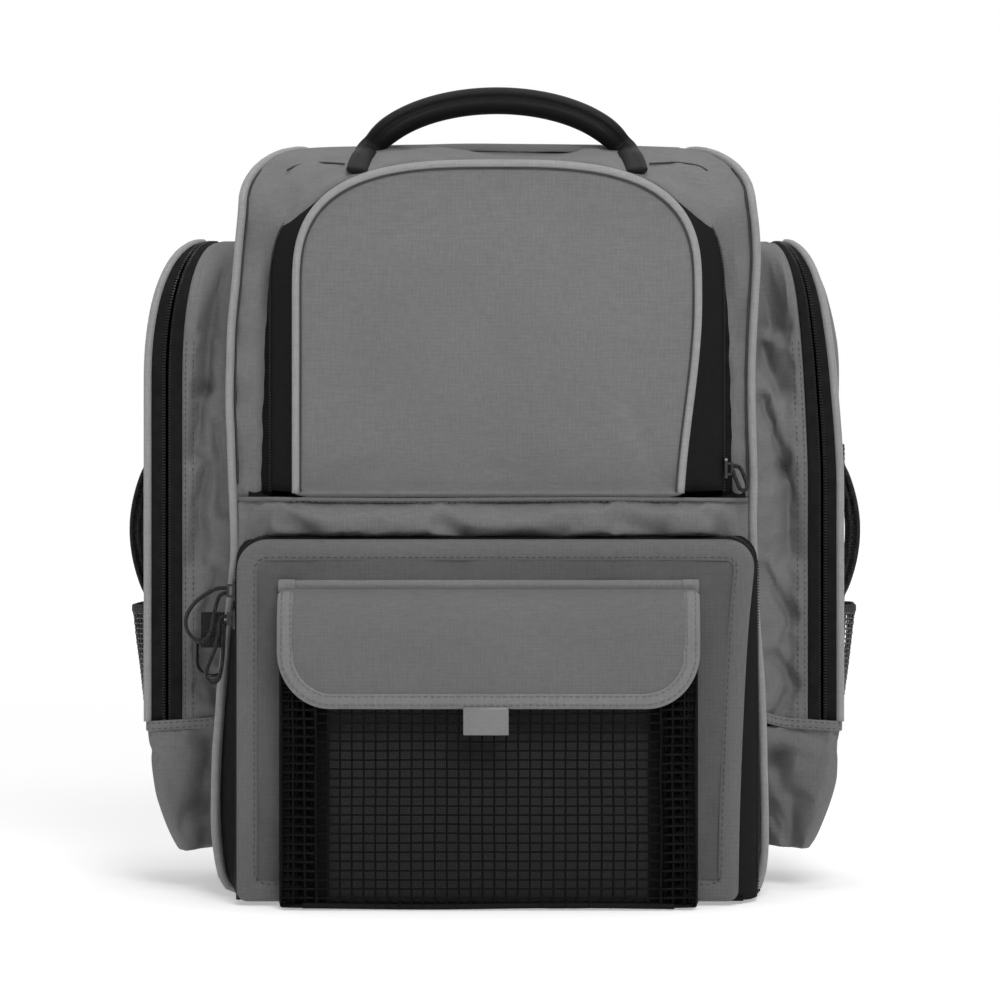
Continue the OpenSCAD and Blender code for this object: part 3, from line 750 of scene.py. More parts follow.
GUSSET_FOLDS = {
    "left": [((174, 386), (182, 312), 5.0, 10.0), ((183, 312), (188, 270), 5.0, 9.0),
             ((174, 290), (170, 236), 4.0, 7.0), ((181, 262), (188, 205), 5.5, 7.0),
             ((173, 196), (184, 150), 5.5, 7.0), ((178, 132), (168, 112), 4.5, 6.0),
             ((178, 92), (184, 54), 8.0, 11.0), ((184, 54), (175, 24), 8.0, 14.0)],
    "right": [((165, 400), (176, 352), 7.5, 12.0), ((168, 338), (178, 312), 5.0, 9.0),
              ((165, 304), (180, 262), 5.0, 11.0), ((180, 262), (186, 210), 6.0, 8.0),
              ((164, 200), (184, 170), 5.0, 7.0), ((172, 146), (186, 128), 4.5, 7.0),
              ((180, 122), (170, 106), 4.5, 6.0), ((172, 84), (173, 36), 7.0, 13.0),
              ((184, 58), (182, 28), 6.0, 10.0)],
}


def crease(x, z, folds):
    """How deep the folds in a list are at (x, z)."""
    total = 0.0
    for (x0, z0), (x1, z1), width, depth in folds:
        dx, dz = x1 - x0, z1 - z0
        t = min(max(((x - x0) * dx + (z - z0) * dz) / (dx * dx + dz * dz), 0.0), 1.0)
        total += depth * math.exp(-(((x - x0 - t * dx) ** 2 + (z - z0 - t * dz) ** 2) / width ** 2))
    return total


def edge(side, z):
    """X of the front seam on that side, -1 or 1, at a height."""
    if z <= SHOULDER_Z:
        return float(through(LEFT_EDGE if side < 0 else RIGHT_EDGE, z))
    up = min((z - SHOULDER_Z) / CORNER, 1.0)
    return side * (SHOULDER_X + CORNER * max(1 - up ** 1.8, 0) ** (1 / 1.8))


def back_half(z):
    """Half the body's width at its back seams, at a height below the shoulders."""
    return 165 - 11 * z / SHOULDER_Z


def roll(z, radius):
    """How far the body has drawn in over its top edge at a height."""
    up = min(max((z - (BODY_TOP - radius)) / radius, 0), 1)
    return radius * (1 - math.sqrt(max(1 - up * up, 0)))


def front_y(z):
    return SEAM_Y + roll(z, ROLL_FRONT)


def back_y(z):
    return BACK_Y - roll(z, ROLL_BACK)


def on_front(x, s):
    """The point at X and at a distance s up the front and over its roll."""
    if s <= ROLL_START:
        return np.array((x, SEAM_Y, s))
    a = (s - ROLL_START) / ROLL_FRONT
    return np.array((x, SEAM_Y + ROLL_FRONT * (1 - math.cos(a)), ROLL_START + ROLL_FRONT * math.sin(a)))


def up_front(z):
    """The distance up the front of a height."""
    if z <= ROLL_START:
        return z
    return ROLL_START + ROLL_FRONT * math.asin(min((z - ROLL_START) / ROLL_FRONT, 1.0))


def arch_point(angle, grow_x, grow_z, n=1.5):
    """The arched door's outline over its straight sides, from 0 degrees at the right to 180 at the left."""
    c, s = math.cos(math.radians(angle)), math.sin(math.radians(angle))
    return (math.copysign((ARCH_HALF + grow_x) * abs(c) ** (1 / n), c),
            ARCH_SPRING + (ARCH_TOP - ARCH_SPRING + grow_z) * abs(s) ** (1 / n))


def arch_path(grow_x, grow_z, bottom, side_n=16, arc_n=56):
    """The outline as (x, z), from the bottom right up, over and down to the bottom left."""
    right = [(ARCH_HALF + grow_x, z) for z in steps(bottom, ARCH_SPRING, side_n)[:-1]]
    left = [(-x, z) for x, z in reversed(right)]
    return right + [arch_point(180 * k / arc_n, grow_x, grow_z) for k in range(arc_n + 1)] + left


def zip_reach(z):
    """How far the doorway's edge is outside the arched door at a height: clear of it below, close at the top."""
    return float(through(DOORWAY, z))


def doorway_y(z):
    """Depth of the doorway's edge at a height."""
    return lerp(SEAM_Y - 1.5, ARCH_Y + 9.0, ease(380, 425, z))


def band_y(x, y):
    """Depth at x of what lies at y across the middle of the step: it falls back to the seams at the sides."""
    side = 1 if x > 0 else -1
    return SEAM_Y + (y - SEAM_Y) * (0.10 + 0.90 * ease(0, 32, abs(edge(side, 240)) - abs(x)))


def door_lean(x, z):
    """The tackle door's right edge sags inwards below its middle."""
    return float(through(DOOR_LEAN, z)) * ease(90, DOOR_HALF, x)


def door_path(grow, bottom=3.0, radius=18.0, side_n=24, arc_n=8, top_n=30):
    """The tackle door's outline as (x, z), from the bottom right over to the bottom left."""
    h, t, r = DOOR_HALF + grow, DOOR_TOP + grow, radius + grow
    right = [(h, z) for z in steps(bottom, t - r, side_n)]
    corner = arc(h - r, t - r, r, 0, 90, arc_n)[1:]
    top = [(x, t) for x in steps(h - r, -h + r, top_n)[1:]]
    left = [(-x, z) for x, z in reversed(right + corner[:-1])]
    return right + corner + top + left


def wrinkle(p, normal, amount):
    """A small slack in the cloth."""
    return p + np.array(normal) * (0.9 * ripple(p, 55, 0) + 0.5 * ripple(p, 24, 1)) * amount


# ---- The body ----

CENTRE = (0, 0, 230)


def yoke_outline():
    """The doorway's edge as (x, z), and where rays through it meet the body's seam, as (x, way up the front)."""
    base = np.array(arch_path(0, 0, YOKE_BOTTOM))
    foot = [p + np.array((t[1], -t[0])) * zip_reach(p[1]) for p, t in zip(base, tangents(base))]
    mid_x, mid_s = 0.0, YOKE_BOTTOM - 60
    outer = []
    for x, z in foot:
        dx, ds = x - mid_x, up_front(z) - mid_s
        near, far = 1.0, 6.0
        for _ in range(40):
            t = (near + far) / 2
            px, ps = mid_x + dx * t, mid_s + ds * t
            height = on_front(0, ps)[2] if ps < ROLL_END else BODY_TOP
            if ps > ROLL_END or abs(px) > abs(edge(-1 if px < 0 else 1, max(height, 5))):
                far = t
            else:
                near = t
        outer.append((mid_x + dx * near, mid_s + ds * near))
    for k, side in ((0, 1), (-1, -1)):          # the two feet keep to the step
        outer[k] = (edge(side, YOKE_BOTTOM), YOKE_BOTTOM)
    for k in range(1, 12):
        for j, side in ((k, 1), (len(foot) - 1 - k, -1)):
            z = max(foot[j][1], YOKE_BOTTOM)
            if outer[j][1] < z + 10:
                outer[j] = (edge(side, z), z)
    return foot, outer


def front_yoke():
    """Front, from the step up to the roll. Its doorway is clear of the door below, and comes up to it above."""
    rows = []
    outline = list(zip(*yoke_outline()))
    for t in steps(0, 1, 18):
        row = []
        for (x0, z0), (x1, s1) in outline:
            ahead = doorway_y(z0) - on_front(x0, up_front(z0))[1]
            p = on_front(lerp(x0, x1, t), lerp(up_front(z0), s1, t))
            p = p + np.array((0, ahead * (1 - t) ** 1.4, 0))
            crown = max(1 - (p[0] / SHOULDER_X) ** 2, 0)
            p[2] += TOP_CROWN * ease(0.4, 1.0, t) * ease(440, 462, p[2]) * crown
            slack = math.sin(math.pi * t)
            puff = 2.4 * (1 - ease(385, 420, z0)) * math.sin(math.pi * min(t * 1.4, 1.0))
            waves = 1.5 * ripple(p, 48, 3) + 0.9 * ripple(p, 20, 4)
            p[1] -= slack * waves + puff - crease(p[0], p[2], YOKE_FOLDS) * slack
            row.append(p)
        rows.append(row)
    yoke = sheet("front_yoke_cloth", rows, GREY, away_from=CENTRE, lining=LINING)
    sewn(yoke, grow=0.03, cap=3.0, stiff=2.0, pin=lambda i, p: 70 < abs(p[0]) < 98 and p[2] > 440)
    thicken(yoke, 2.0, lining=True)
    subdivide(yoke)
    return ride(yoke, "bag", ["front_yoke"])


def top():
    """The top, and its roll down to the back."""
    rows = [[(x, y, BODY_TOP + TOP_CROWN * (1 - (x / SHOULDER_X) ** 2)) for x in steps(-SHOULDER_X, SHOULDER_X, 48)]
            for y in steps(SEAM_Y + ROLL_FRONT, BACK_Y - ROLL_BACK, 16)]
    for a in steps(0, 55, 10)[1:]:
        z = BODY_TOP - ROLL_BACK * (1 - math.cos(math.radians(a)))
        y = BACK_Y - ROLL_BACK + ROLL_BACK * math.sin(math.radians(a))
        rows.append([(x, y, z + TOP_CROWN * (1 - (x / 155) ** 2)) for x in steps(edge(-1, z), edge(1, z), 48)])
    rows = [[wrinkle(np.array(p), (0, 0, 1), 1.4 * ease(0, 4, i)) for p in r] for i, r in enumerate(rows)]
    cloth = sheet("top_cloth", rows, GREY, away_from=CENTRE, lining=LINING)
    subdivide(cloth)
    thicken(cloth, 2.0, lining=True)
    ride(cloth, "bag", ["top_panel"])


def side_wall(side, tag):
    """A wall from the front seam to the back seam at every height, and over the shoulder."""
    rows = []
    zs = [SHOULDER_Z + CORNER * math.sin(math.radians(a)) for a in steps(0, 90, 12)[1:]]
    for z in steps(2, SHOULDER_Z, 50) + zs:
        near = abs(edge(side, z))
        far = back_half(z) if z <= SHOULDER_Z else near
        rows.append([(side * lerp(near, far, ease(0, 0.35, t)), lerp(front_y(z), back_y(z), t), z)
                     for t in steps(0, 1, 20)])
    wall = sheet(f"side_wall_{tag}", rows, GREY, away_from=CENTRE, lining=LINING)
    sewn(wall, grow=0.015, cap=3.0, stiff=3.0)
    thicken(wall, 2.0, lining=True)
    ride(wall, "bag", [f"side_panel_{tag}"])


def back_and_base():
    """Black cloth from seam to seam. At the top it ends under the top's edge."""
    heights = [(z, BACK_Y + 0.4) for z in steps(1.5, BODY_TOP - ROLL_BACK, 30)]
    for a in reversed(steps(36, 90, 9)[:-1]):
        r = ROLL_BACK - 2.2 * ease(60, 50, a)
        heights.append((BODY_TOP - ROLL_BACK + r * math.cos(math.radians(a)),
                        BACK_Y - ROLL_BACK + r * math.sin(math.radians(a))))
    rows = []
    for z, y in heights:
        wide = back_half(z) if z <= SHOULDER_Z else abs(edge(1, z))
        rows.append([(x, y, z) for x in steps(-wide, wide, 24)])
    back = sheet("back_cloth", rows, BLACK, direction=(0, 1, 0))
    rows = [[(x, y, 1.2) for x in steps(-w, w, 24)]
            for y, w in ((SEAM_Y, 158), (-55, 163), (0, 165), (BACK_Y, 165))]
    base = sheet("base_cloth", rows, BLACK, direction=(0, 0, -1))
    for obj in (back, base):
        thicken(obj, 1.2)
        ride(obj, "bag")


def step_seam():
    """The seam across the step under the upper door, and the black cloth that closes the step behind it."""
    path = [(x, band_y(x, -107.5), 243.4 + 0.3 * math.sin(x / 33.0))
            for x in steps(edge(-1, 244) + 2, edge(1, 244) - 2, 90)]
    ride(sweep("step_seam", path, strap_section(2.6, 1.4), (0, 0, 1), FLAP_GREY), "bag")
    row = [(x, band_y(x, -108.8), z - 1.6) for x, _, z in path[4:-4]]
    ride(stitches("step_stitches", row, (0, -1, 0), THREAD, 2.6, 1.2, 0.22), "bag")
    foot = [(-74, 262), (-75, 252), (-78, 247), (-86, 245.2), (-96, 244.2), (-105, 243)]
    rows = [[(x, max(y, band_y(x, -105)), z) for x in steps(-152, 152, 60)] for y, z in foot]
    cloth = sheet("upper_gusset_foot", rows, BLACK, direction=(0, 0, 1))
    thicken(cloth, 0.9)
    ride(cloth, "bag")


def body_piping(side, tag):
    """The corded seam round a side panel, and the crease where it is sewn down at the front."""
    out = side * 1.7

    def shoulder(angles, y_at, ahead):
        for a in angles:
            c, s = math.cos(math.radians(a)), math.sin(math.radians(a))
            z = SHOULDER_Z + CORNER * s
            path.append((edge(side, z) + out * c, y_at(z) + ahead * c, z + 0.3 * s))

    path = [(edge(side, 2) - side * 14, SEAM_Y - 0.5, 2.9), (edge(side, 2) - side * 5, SEAM_Y - 1.5, 3.0)]
    path += [(edge(side, z) + out, SEAM_Y - 2.0, z) for z in steps(7, SHOULDER_Z, 60)]
    shoulder(steps(0, 90, 14)[1:], front_y, -2.0)
    path += [(side * SHOULDER_X, y, BODY_TOP + 0.3)
             for y in steps(SEAM_Y + ROLL_FRONT, BACK_Y - ROLL_BACK, 10)[1:]]
    shoulder(reversed(steps(0, 90, 14)[:-1]), back_y, 2.0)
    path += [(side * back_half(z) + out, BACK_Y + 2.0, z) for z in reversed(steps(3, SHOULDER_Z, 40)[:-1])]
    pts, _ = resample(path, 4.0)
    pts = [p + np.array((0.5 * ripple(p, 30, side), 0.5 * ripple(p, 30, side + 4), 0)) for p in pts]
    cord = sweep(f"body_piping_{tag}", pts, circle(2.6, 10), (1, 0.3, 0.2), PIPING)
    ride(cord, "bag", ["body_piping"])
    row = [p + np.array((-side * 3.4, 0.4, 0)) for p in pts if p[2] > 250 and p[1] < -40 and p[2] < 448]
    ride(thread(f"body_piping_crease_{tag}", row, 0.6, (0, 1, 0)), "bag")


def step_band():
    """The slack cloth between the upper door and the tackle door. It turns down beside the door's corners."""
    profile = [(-101, 244.2), (-108, 241.5), (-112.5, 236), (-112.8, 228.5), (-111.5, 222.6), (-104, 220.9)]
    profile, _ = resample(fillet([(0, *q) for q in profile], 6, 4), 1.6)
    left, right = edge(-1, 236) + 1, edge(1, 236) - 1
    rows = []
    for _, y, z in profile:
        row = []
        for x in steps(left, right, 150):
            drop = 30 * (1 - ease(0, 20, min(x - left, right - x))) * max(0.0, (245 - z) / 22)
            fold = crease(x, z, BAND_FOLDS) * ease(243, 238, z)
            row.append((x, band_y(x, y) + fold - 0.8 * ripple((x, 0, z), 40, 51), z - drop))
        rows.append(row)
    band = sheet("step_band_cloth", rows, GREY, away_from=(0, -60, 234), lining=LINING)
    sewn(band, grow=0.02, cap=1.6, stiff=2.0)
    thicken(band, 1.6, lining=True)
    subdivide(band)
    ride(band, "bag", ["storage_ledge"])


YOKE = front_yoke()
top()
for side, tag in SIDES:
    side_wall(side, tag)
back_and_base()
step_seam()
for side, tag in SIDES:
    body_piping(side, tag)
step_band()


# ---- Tackle door, its zip and its gusset ----

def loft(name, path_a, y_a, path_b, y_b, material, n=5, bulge=0.0, away=(0, -95, 110)):
    """A strip between two outlines at two depths."""
    rows = []
    for t in steps(0, 1, n):
        row = []
        for (xa, za), (xb, zb) in zip(path_a, path_b):
            x, z = lerp(xa, xb, t), lerp(za, zb, t)
            way = np.array((x - away[0], 0, z - away[2]))
            way /= max(np.linalg.norm(way), 1e-6)
            row.append(np.array((x, lerp(y_a, y_b, t), z)) + way * (bulge * math.sin(math.pi * t)))
        rows.append(row)
    obj = sheet(name, rows, material, away_from=away)
    thicken(obj, 0.9)
    return obj


def zip_sides(tag, y, door, coils, tape, away=(0, -95, 110)):
    """Tape and coil on the bag and on the door. coils are (x, z) outlines; tape is the outline's two edges."""
    for name, body_name, way, coil in (("bag", "bag", 1, coils[0]), ("door", door, -1, coils[1])):
        pts = np.array([(x, y + way * 1.9, z) for x, z in coil], float)
        tan = np.gradient(pts, axis=0)
        out = np.stack([tan[:, 2], np.zeros(len(tan)), -tan[:, 0]], axis=1)
        ride(ribs(f"{tag}_zip_{name}_coil", pts, (0, 1, 0), out), body_name)
        strip = loft(f"{tag}_zip_tape_{name}", tape[0], y + way * 0.8, tape[1], y + way * 3.4, TAPE, n=1,
                     away=away)
        ride(strip, body_name)


def lower_zip():
    """Gussets from the coil out to the body's seams and the step above, and in to behind the door's binding."""
    zip_path = door_path(2.0)
    outer = []
    for x, z in zip_path:
        side = -1 if x < 0 else 1
        reach = abs(edge(side, z)) - 1.5
        k = ease(DOOR_TOP - 30, DOOR_TOP - 4, z)
        outer.append((side * lerp(max(reach, abs(x) + 0.5), abs(x) * (1 + 0.02 * k), k), z + 2.5 * k))
    obj = loft("lower_gusset_bag_side", zip_path, LOWER_ZIP_Y + 3.1, outer, SEAM_Y - 0.5, TAPE, bulge=1.2)
    ride(obj, "bag", ["lower_zip_bag_side"])
    rim = [(x + door_lean(x, z), z) for x, z in door_path(-1.0)]
    obj = loft("lower_gusset_door_side", zip_path, LOWER_ZIP_Y - 3.1, rim, DOOR_BACK + 0.5, BLACK, bulge=1.5)
    ride(obj, "tackle_door", ["lower_zip_door_side"])
    zip_sides("lower", LOWER_ZIP_Y, "tackle_door", (door_path(2.3, bottom=5), door_path(2.3, bottom=12)),
              (door_path(1.6), door_path(1.7)))


BINDING_W = 12.5
BINDING_SECTION = [(0.0, 5.4), (-0.6, 3.0), (-0.4, 0.6), (0.8, -1.2), (2.8, -2.2), (6.5, -2.7),
                   (BINDING_W - 3.0, -2.5), (BINDING_W - 1.2, -2.0), (BINDING_W - 0.2, -1.4), (BINDING_W, -0.4),
                   (BINDING_W, 3.0), (3.0, 5.9)]


def door_outline(r_top=18, r_low=6):
    """The tackle door's closed outline as (x, z), with a point at least every 9 mm."""
    half, top_z, bottom = DOOR_HALF, DOOR_TOP, DOOR_LOW[2]
    pts = []
    for cx, cz, r, a in ((half - r_low, bottom + r_low, r_low, 270), (half - r_top, top_z - r_top, r_top, 0),
                         (-half + r_top, top_z - r_top, r_top, 90), (-half + r_low, bottom + r_low, r_low, 180)):
        pts += arc(cx, cz, r, a, a + 90, 8)
    out = []
    for a, b in zip(pts, pts[1:] + pts[:1]):
        k = max(1, int(math.dist(a, b) / 9))
        out += [(lerp(a[0], b[0], j / k), lerp(a[1], b[1], j / k)) for j in range(k)]
    return out


def tackle_door():
    base = door_outline()
    half, bottom, w = DOOR_HALF, DOOR_LOW[2], BINDING_W
    ahead = np.roll(base, -1, axis=0) - np.roll(base, 1, axis=0)
    inward = np.stack([-ahead[:, 1], ahead[:, 0]], axis=1) / np.linalg.norm(ahead, axis=1, keepdims=True)

    def swell(x, z):
        return 0.5 * ripple((x, 0, z), 30) + 0.3 * ripple((x, 0, z), 11, 2)

    # Binding: a closed ring with a round outer fold
    rows = []
    for p, v in zip(base, inward):
        row = []
        for d, y in BINDING_SECTION:
            x, z = np.array(p) + v * d
            row.append((x + door_lean(p[0], z), DOOR_Y + y + (swell(x, z) if y < -0.5 else 0), z))
        rows.append(row)
    binding = fix_normals(sheet("tackle_door_binding_fold", rows, BINDING, close_rows=True, close_cols=True))
    subdivide(binding)
    ride(binding, "tackle_door", ["tackle_door_binding"])

    # Panel: padded, held down round its edge by the binding
    rows = []
    reach = half - w + 3
    for z in steps(bottom + w - 3, DOOR_TOP - w + 3, 48):
        row = []
        for x in steps(-half + w - 3, reach, 66):
            d = min(reach - abs(x), z - bottom - w + 3, DOOR_TOP - w + 3 - z)
            y = DOOR_Y - 0.9 - 0.9 * ease(3, 26, d) + 0.5 * ripple((x, 0, z), 50, 21)
            row.append(np.array((x + door_lean(half, z) * ease(60, reach, x), y, z)))
        rows.append(row)
    panel = sheet("tackle_door_cloth", rows, DOOR_GREY, direction=(0, -1, 0), lining=LINING)
    sewn(panel, grow=0.01, cap=1.1, stiff=4.0)
    thicken(panel, 4.6, lining=True)
    ride(panel, "tackle_door", ["tackle_door_panel"])

    # Stitches near the binding's inner edge, without those that would cross at the corners
    line = []
    for p, v in zip(base, inward):
        q = np.array(p) + v * (w - 2.2)
        if q[1] > bottom + w - 2.7 and abs(q[0]) < half - w + 2.7:
            x, z = q + np.array((door_lean(p[0], p[1]), 0))
            line.append((x, DOOR_Y - 2.3 + swell(x, z), z))
    ride(stitches("tackle_door_stitches", line + line[:1], (0, -1, 0), DARK_THREAD, 2.4, 1.7, 0.26),
         "tackle_door")


lower_zip()
tackle_door()


# ---- Mesh pouch ----

MESH_PITCH_X, MESH_PITCH_Z = 6.9, 5.4
POUCH_Y = POUCH_LOW[1] + 1.0
POUCH_Z0, POUCH_Z1 = 2.0, POUCH_HIGH[2]
POUCH_COLUMNS = int((POUCH_HIGH[0] - POUCH_LOW[0]) / MESH_PITCH_X)
POUCH_ROWS = int((POUCH_Z1 + 26 - POUCH_Z0) / MESH_PITCH_Z)


def net(name, surface, n_u, n_v, r, material):
    """A square mesh on surface(u, v): one wire along each u and each v, woven a little over and under."""
    us, vs = steps(0, 1, n_u), steps(0, 1, n_v)
    over = {0: -0.25, 1: 0.25}
    paths = [[surface(u, v, over[(i + j) % 2]) for i, u in enumerate(us)] for j, v in enumerate(vs)]
    paths += [[surface(u, v, -over[(i + j) % 2]) for j, v in enumerate(vs)] for i, u in enumerate(us)]
    return tubes(name, paths, r, material, (0, 1, 0.01))


def pouch_front(u, v, weave):
    """A point of the pouch's front: it bellies out, and leans back towards its mouth."""
    x, z = lerp(POUCH_LOW[0], POUCH_HIGH[0], u), lerp(POUCH_Z0, POUCH_Z1 + 24, v)
    belly = -1.2 * math.sin(math.pi * u) * math.sin(math.pi * min(v, 0.95)) + 0.9 * ripple((x, 0, z), 60, 5)
    lean = 0.0 if z < POUCH_Z1 - 20 else -0.5 * (z - POUCH_Z1 + 20) / 40
    return (x + 0.5 * ripple((x, 3, z), 40, 6), POUCH_Y + belly + weave + max(0, z - 128) * 0.05 + lean,
            z + 0.4 * ripple((x, 7, z), 35, 8))


def bellows(side, tag):
    """The mesh folds back to the door in pleats, so that wires are behind wires; its end is bound."""
    outer_x = POUCH_X + side * (POUCH_HALF - 1.0)
    inner_x = POUCH_LOW[0] if side < 0 else POUCH_HIGH[0]
    layers = [((inner_x, POUCH_Y), (outer_x, POUCH_Y + 4.5)),
              ((inner_x + side * 3, POUCH_Y + 6.5), (outer_x, POUCH_Y + 5.5)),
              ((inner_x + side * 2, POUCH_Y + 8.0), (outer_x + side * 0.5, DOOR_Y - 4.5))]
    for k, (a, b) in enumerate(layers):
        def pleat(u, v, weave):
            z = lerp(POUCH_Z0, POUCH_Z1 + 20, v)
            sag = 1.3 * ripple((u * 20, k * 9, z), 28, side + k)
            return (lerp(a[0], b[0], u) + sag * 0.6, lerp(a[1], b[1], u) + sag + weave, z + 0.8 * k)

        wires = net(f"pouch_bellows_{tag}_{k + 1}", pleat, 4 if k else 3, POUCH_ROWS, 0.85, MESH)
        ride(wires, "tackle_door", ["pouch_bellows"] if k == 0 and side < 0 else [])
    path = [(outer_x + side * 0.3, DOOR_Y - 2.6, z) for z in steps(POUCH_Z0, POUCH_Z1 + 14, 20)]
    binding = sweep(f"pouch_side_binding_{tag}", path, strap_section(4.0, 2.4), (1, 0, 0), BLACK)
    ride(binding, "tackle_door")


def pouch():
    wires = net("pouch_mesh", pouch_front, POUCH_COLUMNS, POUCH_ROWS, 0.72, MESH)
    ride(wires, "tackle_door", ["pouch_front"])
    for side, tag in SIDES:
        bellows(side, tag)

    # Bottom: mesh floor and the bound lower edge
    def floor(u, v, weave):
        return (lerp(POUCH_X - POUCH_HALF + 3, POUCH_X + POUCH_HALF - 3, u),
                lerp(POUCH_Y + 0.5, DOOR_Y - 2.0, v), POUCH_Z0 + 0.6 + weave)

    ride(net("pouch_floor_mesh", floor, POUCH_COLUMNS + 6, 4, 0.8, MESH), "tackle_door")
    path = [(x, POUCH_Y + 0.2 + 0.3 * math.sin(x / 17.0), POUCH_Z0 + 0.6 + 0.4 * math.sin(x / 29.0))
            for x in steps(POUCH_LOW[0] - 8, POUCH_HIGH[0] + 8, 60)]
    hem = sweep("pouch_lower_hem", path, strap_section(3.4, 1.8), (0, 0, 1), BLACK)
    ride(hem, "tackle_door")
    # Sheets behind the mesh: black cloth at the sides, and in the middle a dark grey that paints the shade on the
    # door's grey cloth seen through the mesh; and the elastic hem of the mouth
    for name, a, b, material in (("left_side", -POUCH_HALF + 1, -POUCH_HALF + 29, BLACK),
                                 ("middle", -POUCH_HALF + 28, POUCH_HALF - 28, POUCH_BACK_PAINTED_SHADE),
                                 ("right_side", POUCH_HALF - 29, POUCH_HALF - 1, BLACK)):
        rows = [[(POUCH_X + x, DOOR_Y - 4.6 + 0.6 * ripple((x, 0, z), 35, 3), z) for x in steps(a, b, 24)]
                for z in steps(POUCH_Z0 + 1, 176, 30)]
        back = sheet(f"pouch_back_sheet_and_painted_shade_{name}", rows, material, direction=(0, -1, 0))
        thicken(back, 0.8)
        ride(back, "tackle_door")
    hem = sweep("pouch_mouth_hem", [pouch_front(u, 1.0, 0) for u in steps(0, 1, 40)], strap_section(7.0, 2.2),
                (0, 0, 1), BLACK)
    ride(hem, "tackle_door")


# ---- Pouch flap ----

FLAP_X = (FLAP_LOW[0] + FLAP_HIGH[0]) / 2
FLAP_HALF = (FLAP_HIGH[0] - FLAP_LOW[0]) / 2
FLAP_HINGE, FLAP_END = FLAP_HIGH[2] - 1.0, FLAP_LOW[2]
FLAP_ROUND = 33.0
FLAP_EDGE_W = 9.5
# The flap seen from the side: out from its seam, over the pouch and down
FLAP_LINE, _ = resample(fillet([(0, -124.6, FLAP_HINGE), (0, -131.0, FLAP_HINGE - 1.0), (0, -139.5, FLAP_HINGE - 7),
                                (0, -143.8, FLAP_HINGE - 22), (0, -144.6, FLAP_HINGE - 45), (0, -144.6, FLAP_END)],
                               7, 4), 2.6)
FLAP_LENGTH = path_length(FLAP_LINE)
FLAP_DISTANCES = np.concatenate([[0], np.cumsum(np.linalg.norm(np.diff(FLAP_LINE, axis=0), axis=1))])


def flap_point(d, u, inset=0.0):
    """A point at distance d down the flap and at u, -1 to 1, across it, inside its edge by inset."""
    p = np.array([np.interp(d, FLAP_DISTANCES, FLAP_LINE[:, k]) for k in range(3)])
    r = FLAP_ROUND
    left = min(max(FLAP_LENGTH - d - inset, 0.0), r)
    half = FLAP_HALF if left >= r else FLAP_HALF - r + math.sqrt(max(r * r - (r - left) ** 2, 0))
    x = FLAP_X + u * (half - inset)
    wave = 0.7 * ripple((x, 0, p[2]), 45, 9) + 0.35 * ripple((x, 0, p[2]), 17, 12)
    side_drop = 1.6 * ease(0.86, 1.0, abs(u))
    return np.array((x, p[1] - 0.6 + wave * ease(0, 14, d) + side_drop * ease(8, 30, d), p[2]))


def flap_rim(inset):
    """The flap's edge, inset by a distance: down the left side, round the corners and up the right side."""
    n_side, n_arc, r, total = 24, 12, FLAP_ROUND, FLAP_LENGTH
    path = [flap_point(d, -1, inset) for d in steps(9.0, total - r, n_side)]
    for a in steps(0, 90, n_arc)[1:]:
        d = total - r + (r - inset) * math.sin(math.radians(a))
        x = FLAP_X - FLAP_HALF + r - (r - inset) * math.cos(math.radians(a))
        y = flap_point(min(d, total), (x - FLAP_X) / FLAP_HALF)[1]
        path.append(np.array((x, y, flap_point(d, 0)[2])))
    corner_x = FLAP_X - FLAP_HALF + r
    for x in steps(corner_x, 2 * FLAP_X - corner_x, 40)[1:]:
        p = flap_point(total - inset, (x - FLAP_X) / FLAP_HALF)
        path.append(np.array((x, p[1], p[2])))
    return path + [np.array((2 * FLAP_X - p[0], p[1], p[2])) for p in reversed(path[: n_side + n_arc])]


def flap_edge():
    """The bound edge: a fold round the flap's rim, with two rows of stitches."""
    rims = [flap_rim(k) for k in (-0.4, 0.4, 2.5, 5.0, 7.6, FLAP_EDGE_W - 0.4, FLAP_EDGE_W)]
    first, last = rims[0], rims[-1]
    normals = []
    for k, (outer, inner) in enumerate(zip(first, last)):
        n = np.cross(first[min(k + 1, len(first) - 1)] - first[max(k - 1, 0)], inner - outer)
        n /= max(np.linalg.norm(n), 1e-9)
        normals.append(-n if n[1] > 0 else n)
    rows = [[p - lift * n for p, n in zip(path, normals)]
            for path, lift in zip(rims + [last, first], (1.2, 0.1, -1.0, -1.25, -1.1, -0.5, 0.9, 2.2, 2.2))]
    fold = fix_normals(sheet("pouch_flap_edge", rows, FLAP_EDGE, close_rows=True))
    subdivide(fold)
    ride(fold, "pouch_flap", ["pouch_flap_binding"])
    for tag, inset, lift in (("inner", FLAP_EDGE_W - 1.8, 1.3), ("outer", 2.4, 1.15)):
        path = [p + lift * n for p, n in zip(flap_rim(inset), normals)]
        sewing = stitches(f"pouch_flap_stitches_{tag}", path, np.array(normals), THREAD, 2.5, 1.4, 0.34)
        ride(sewing, "pouch_flap")


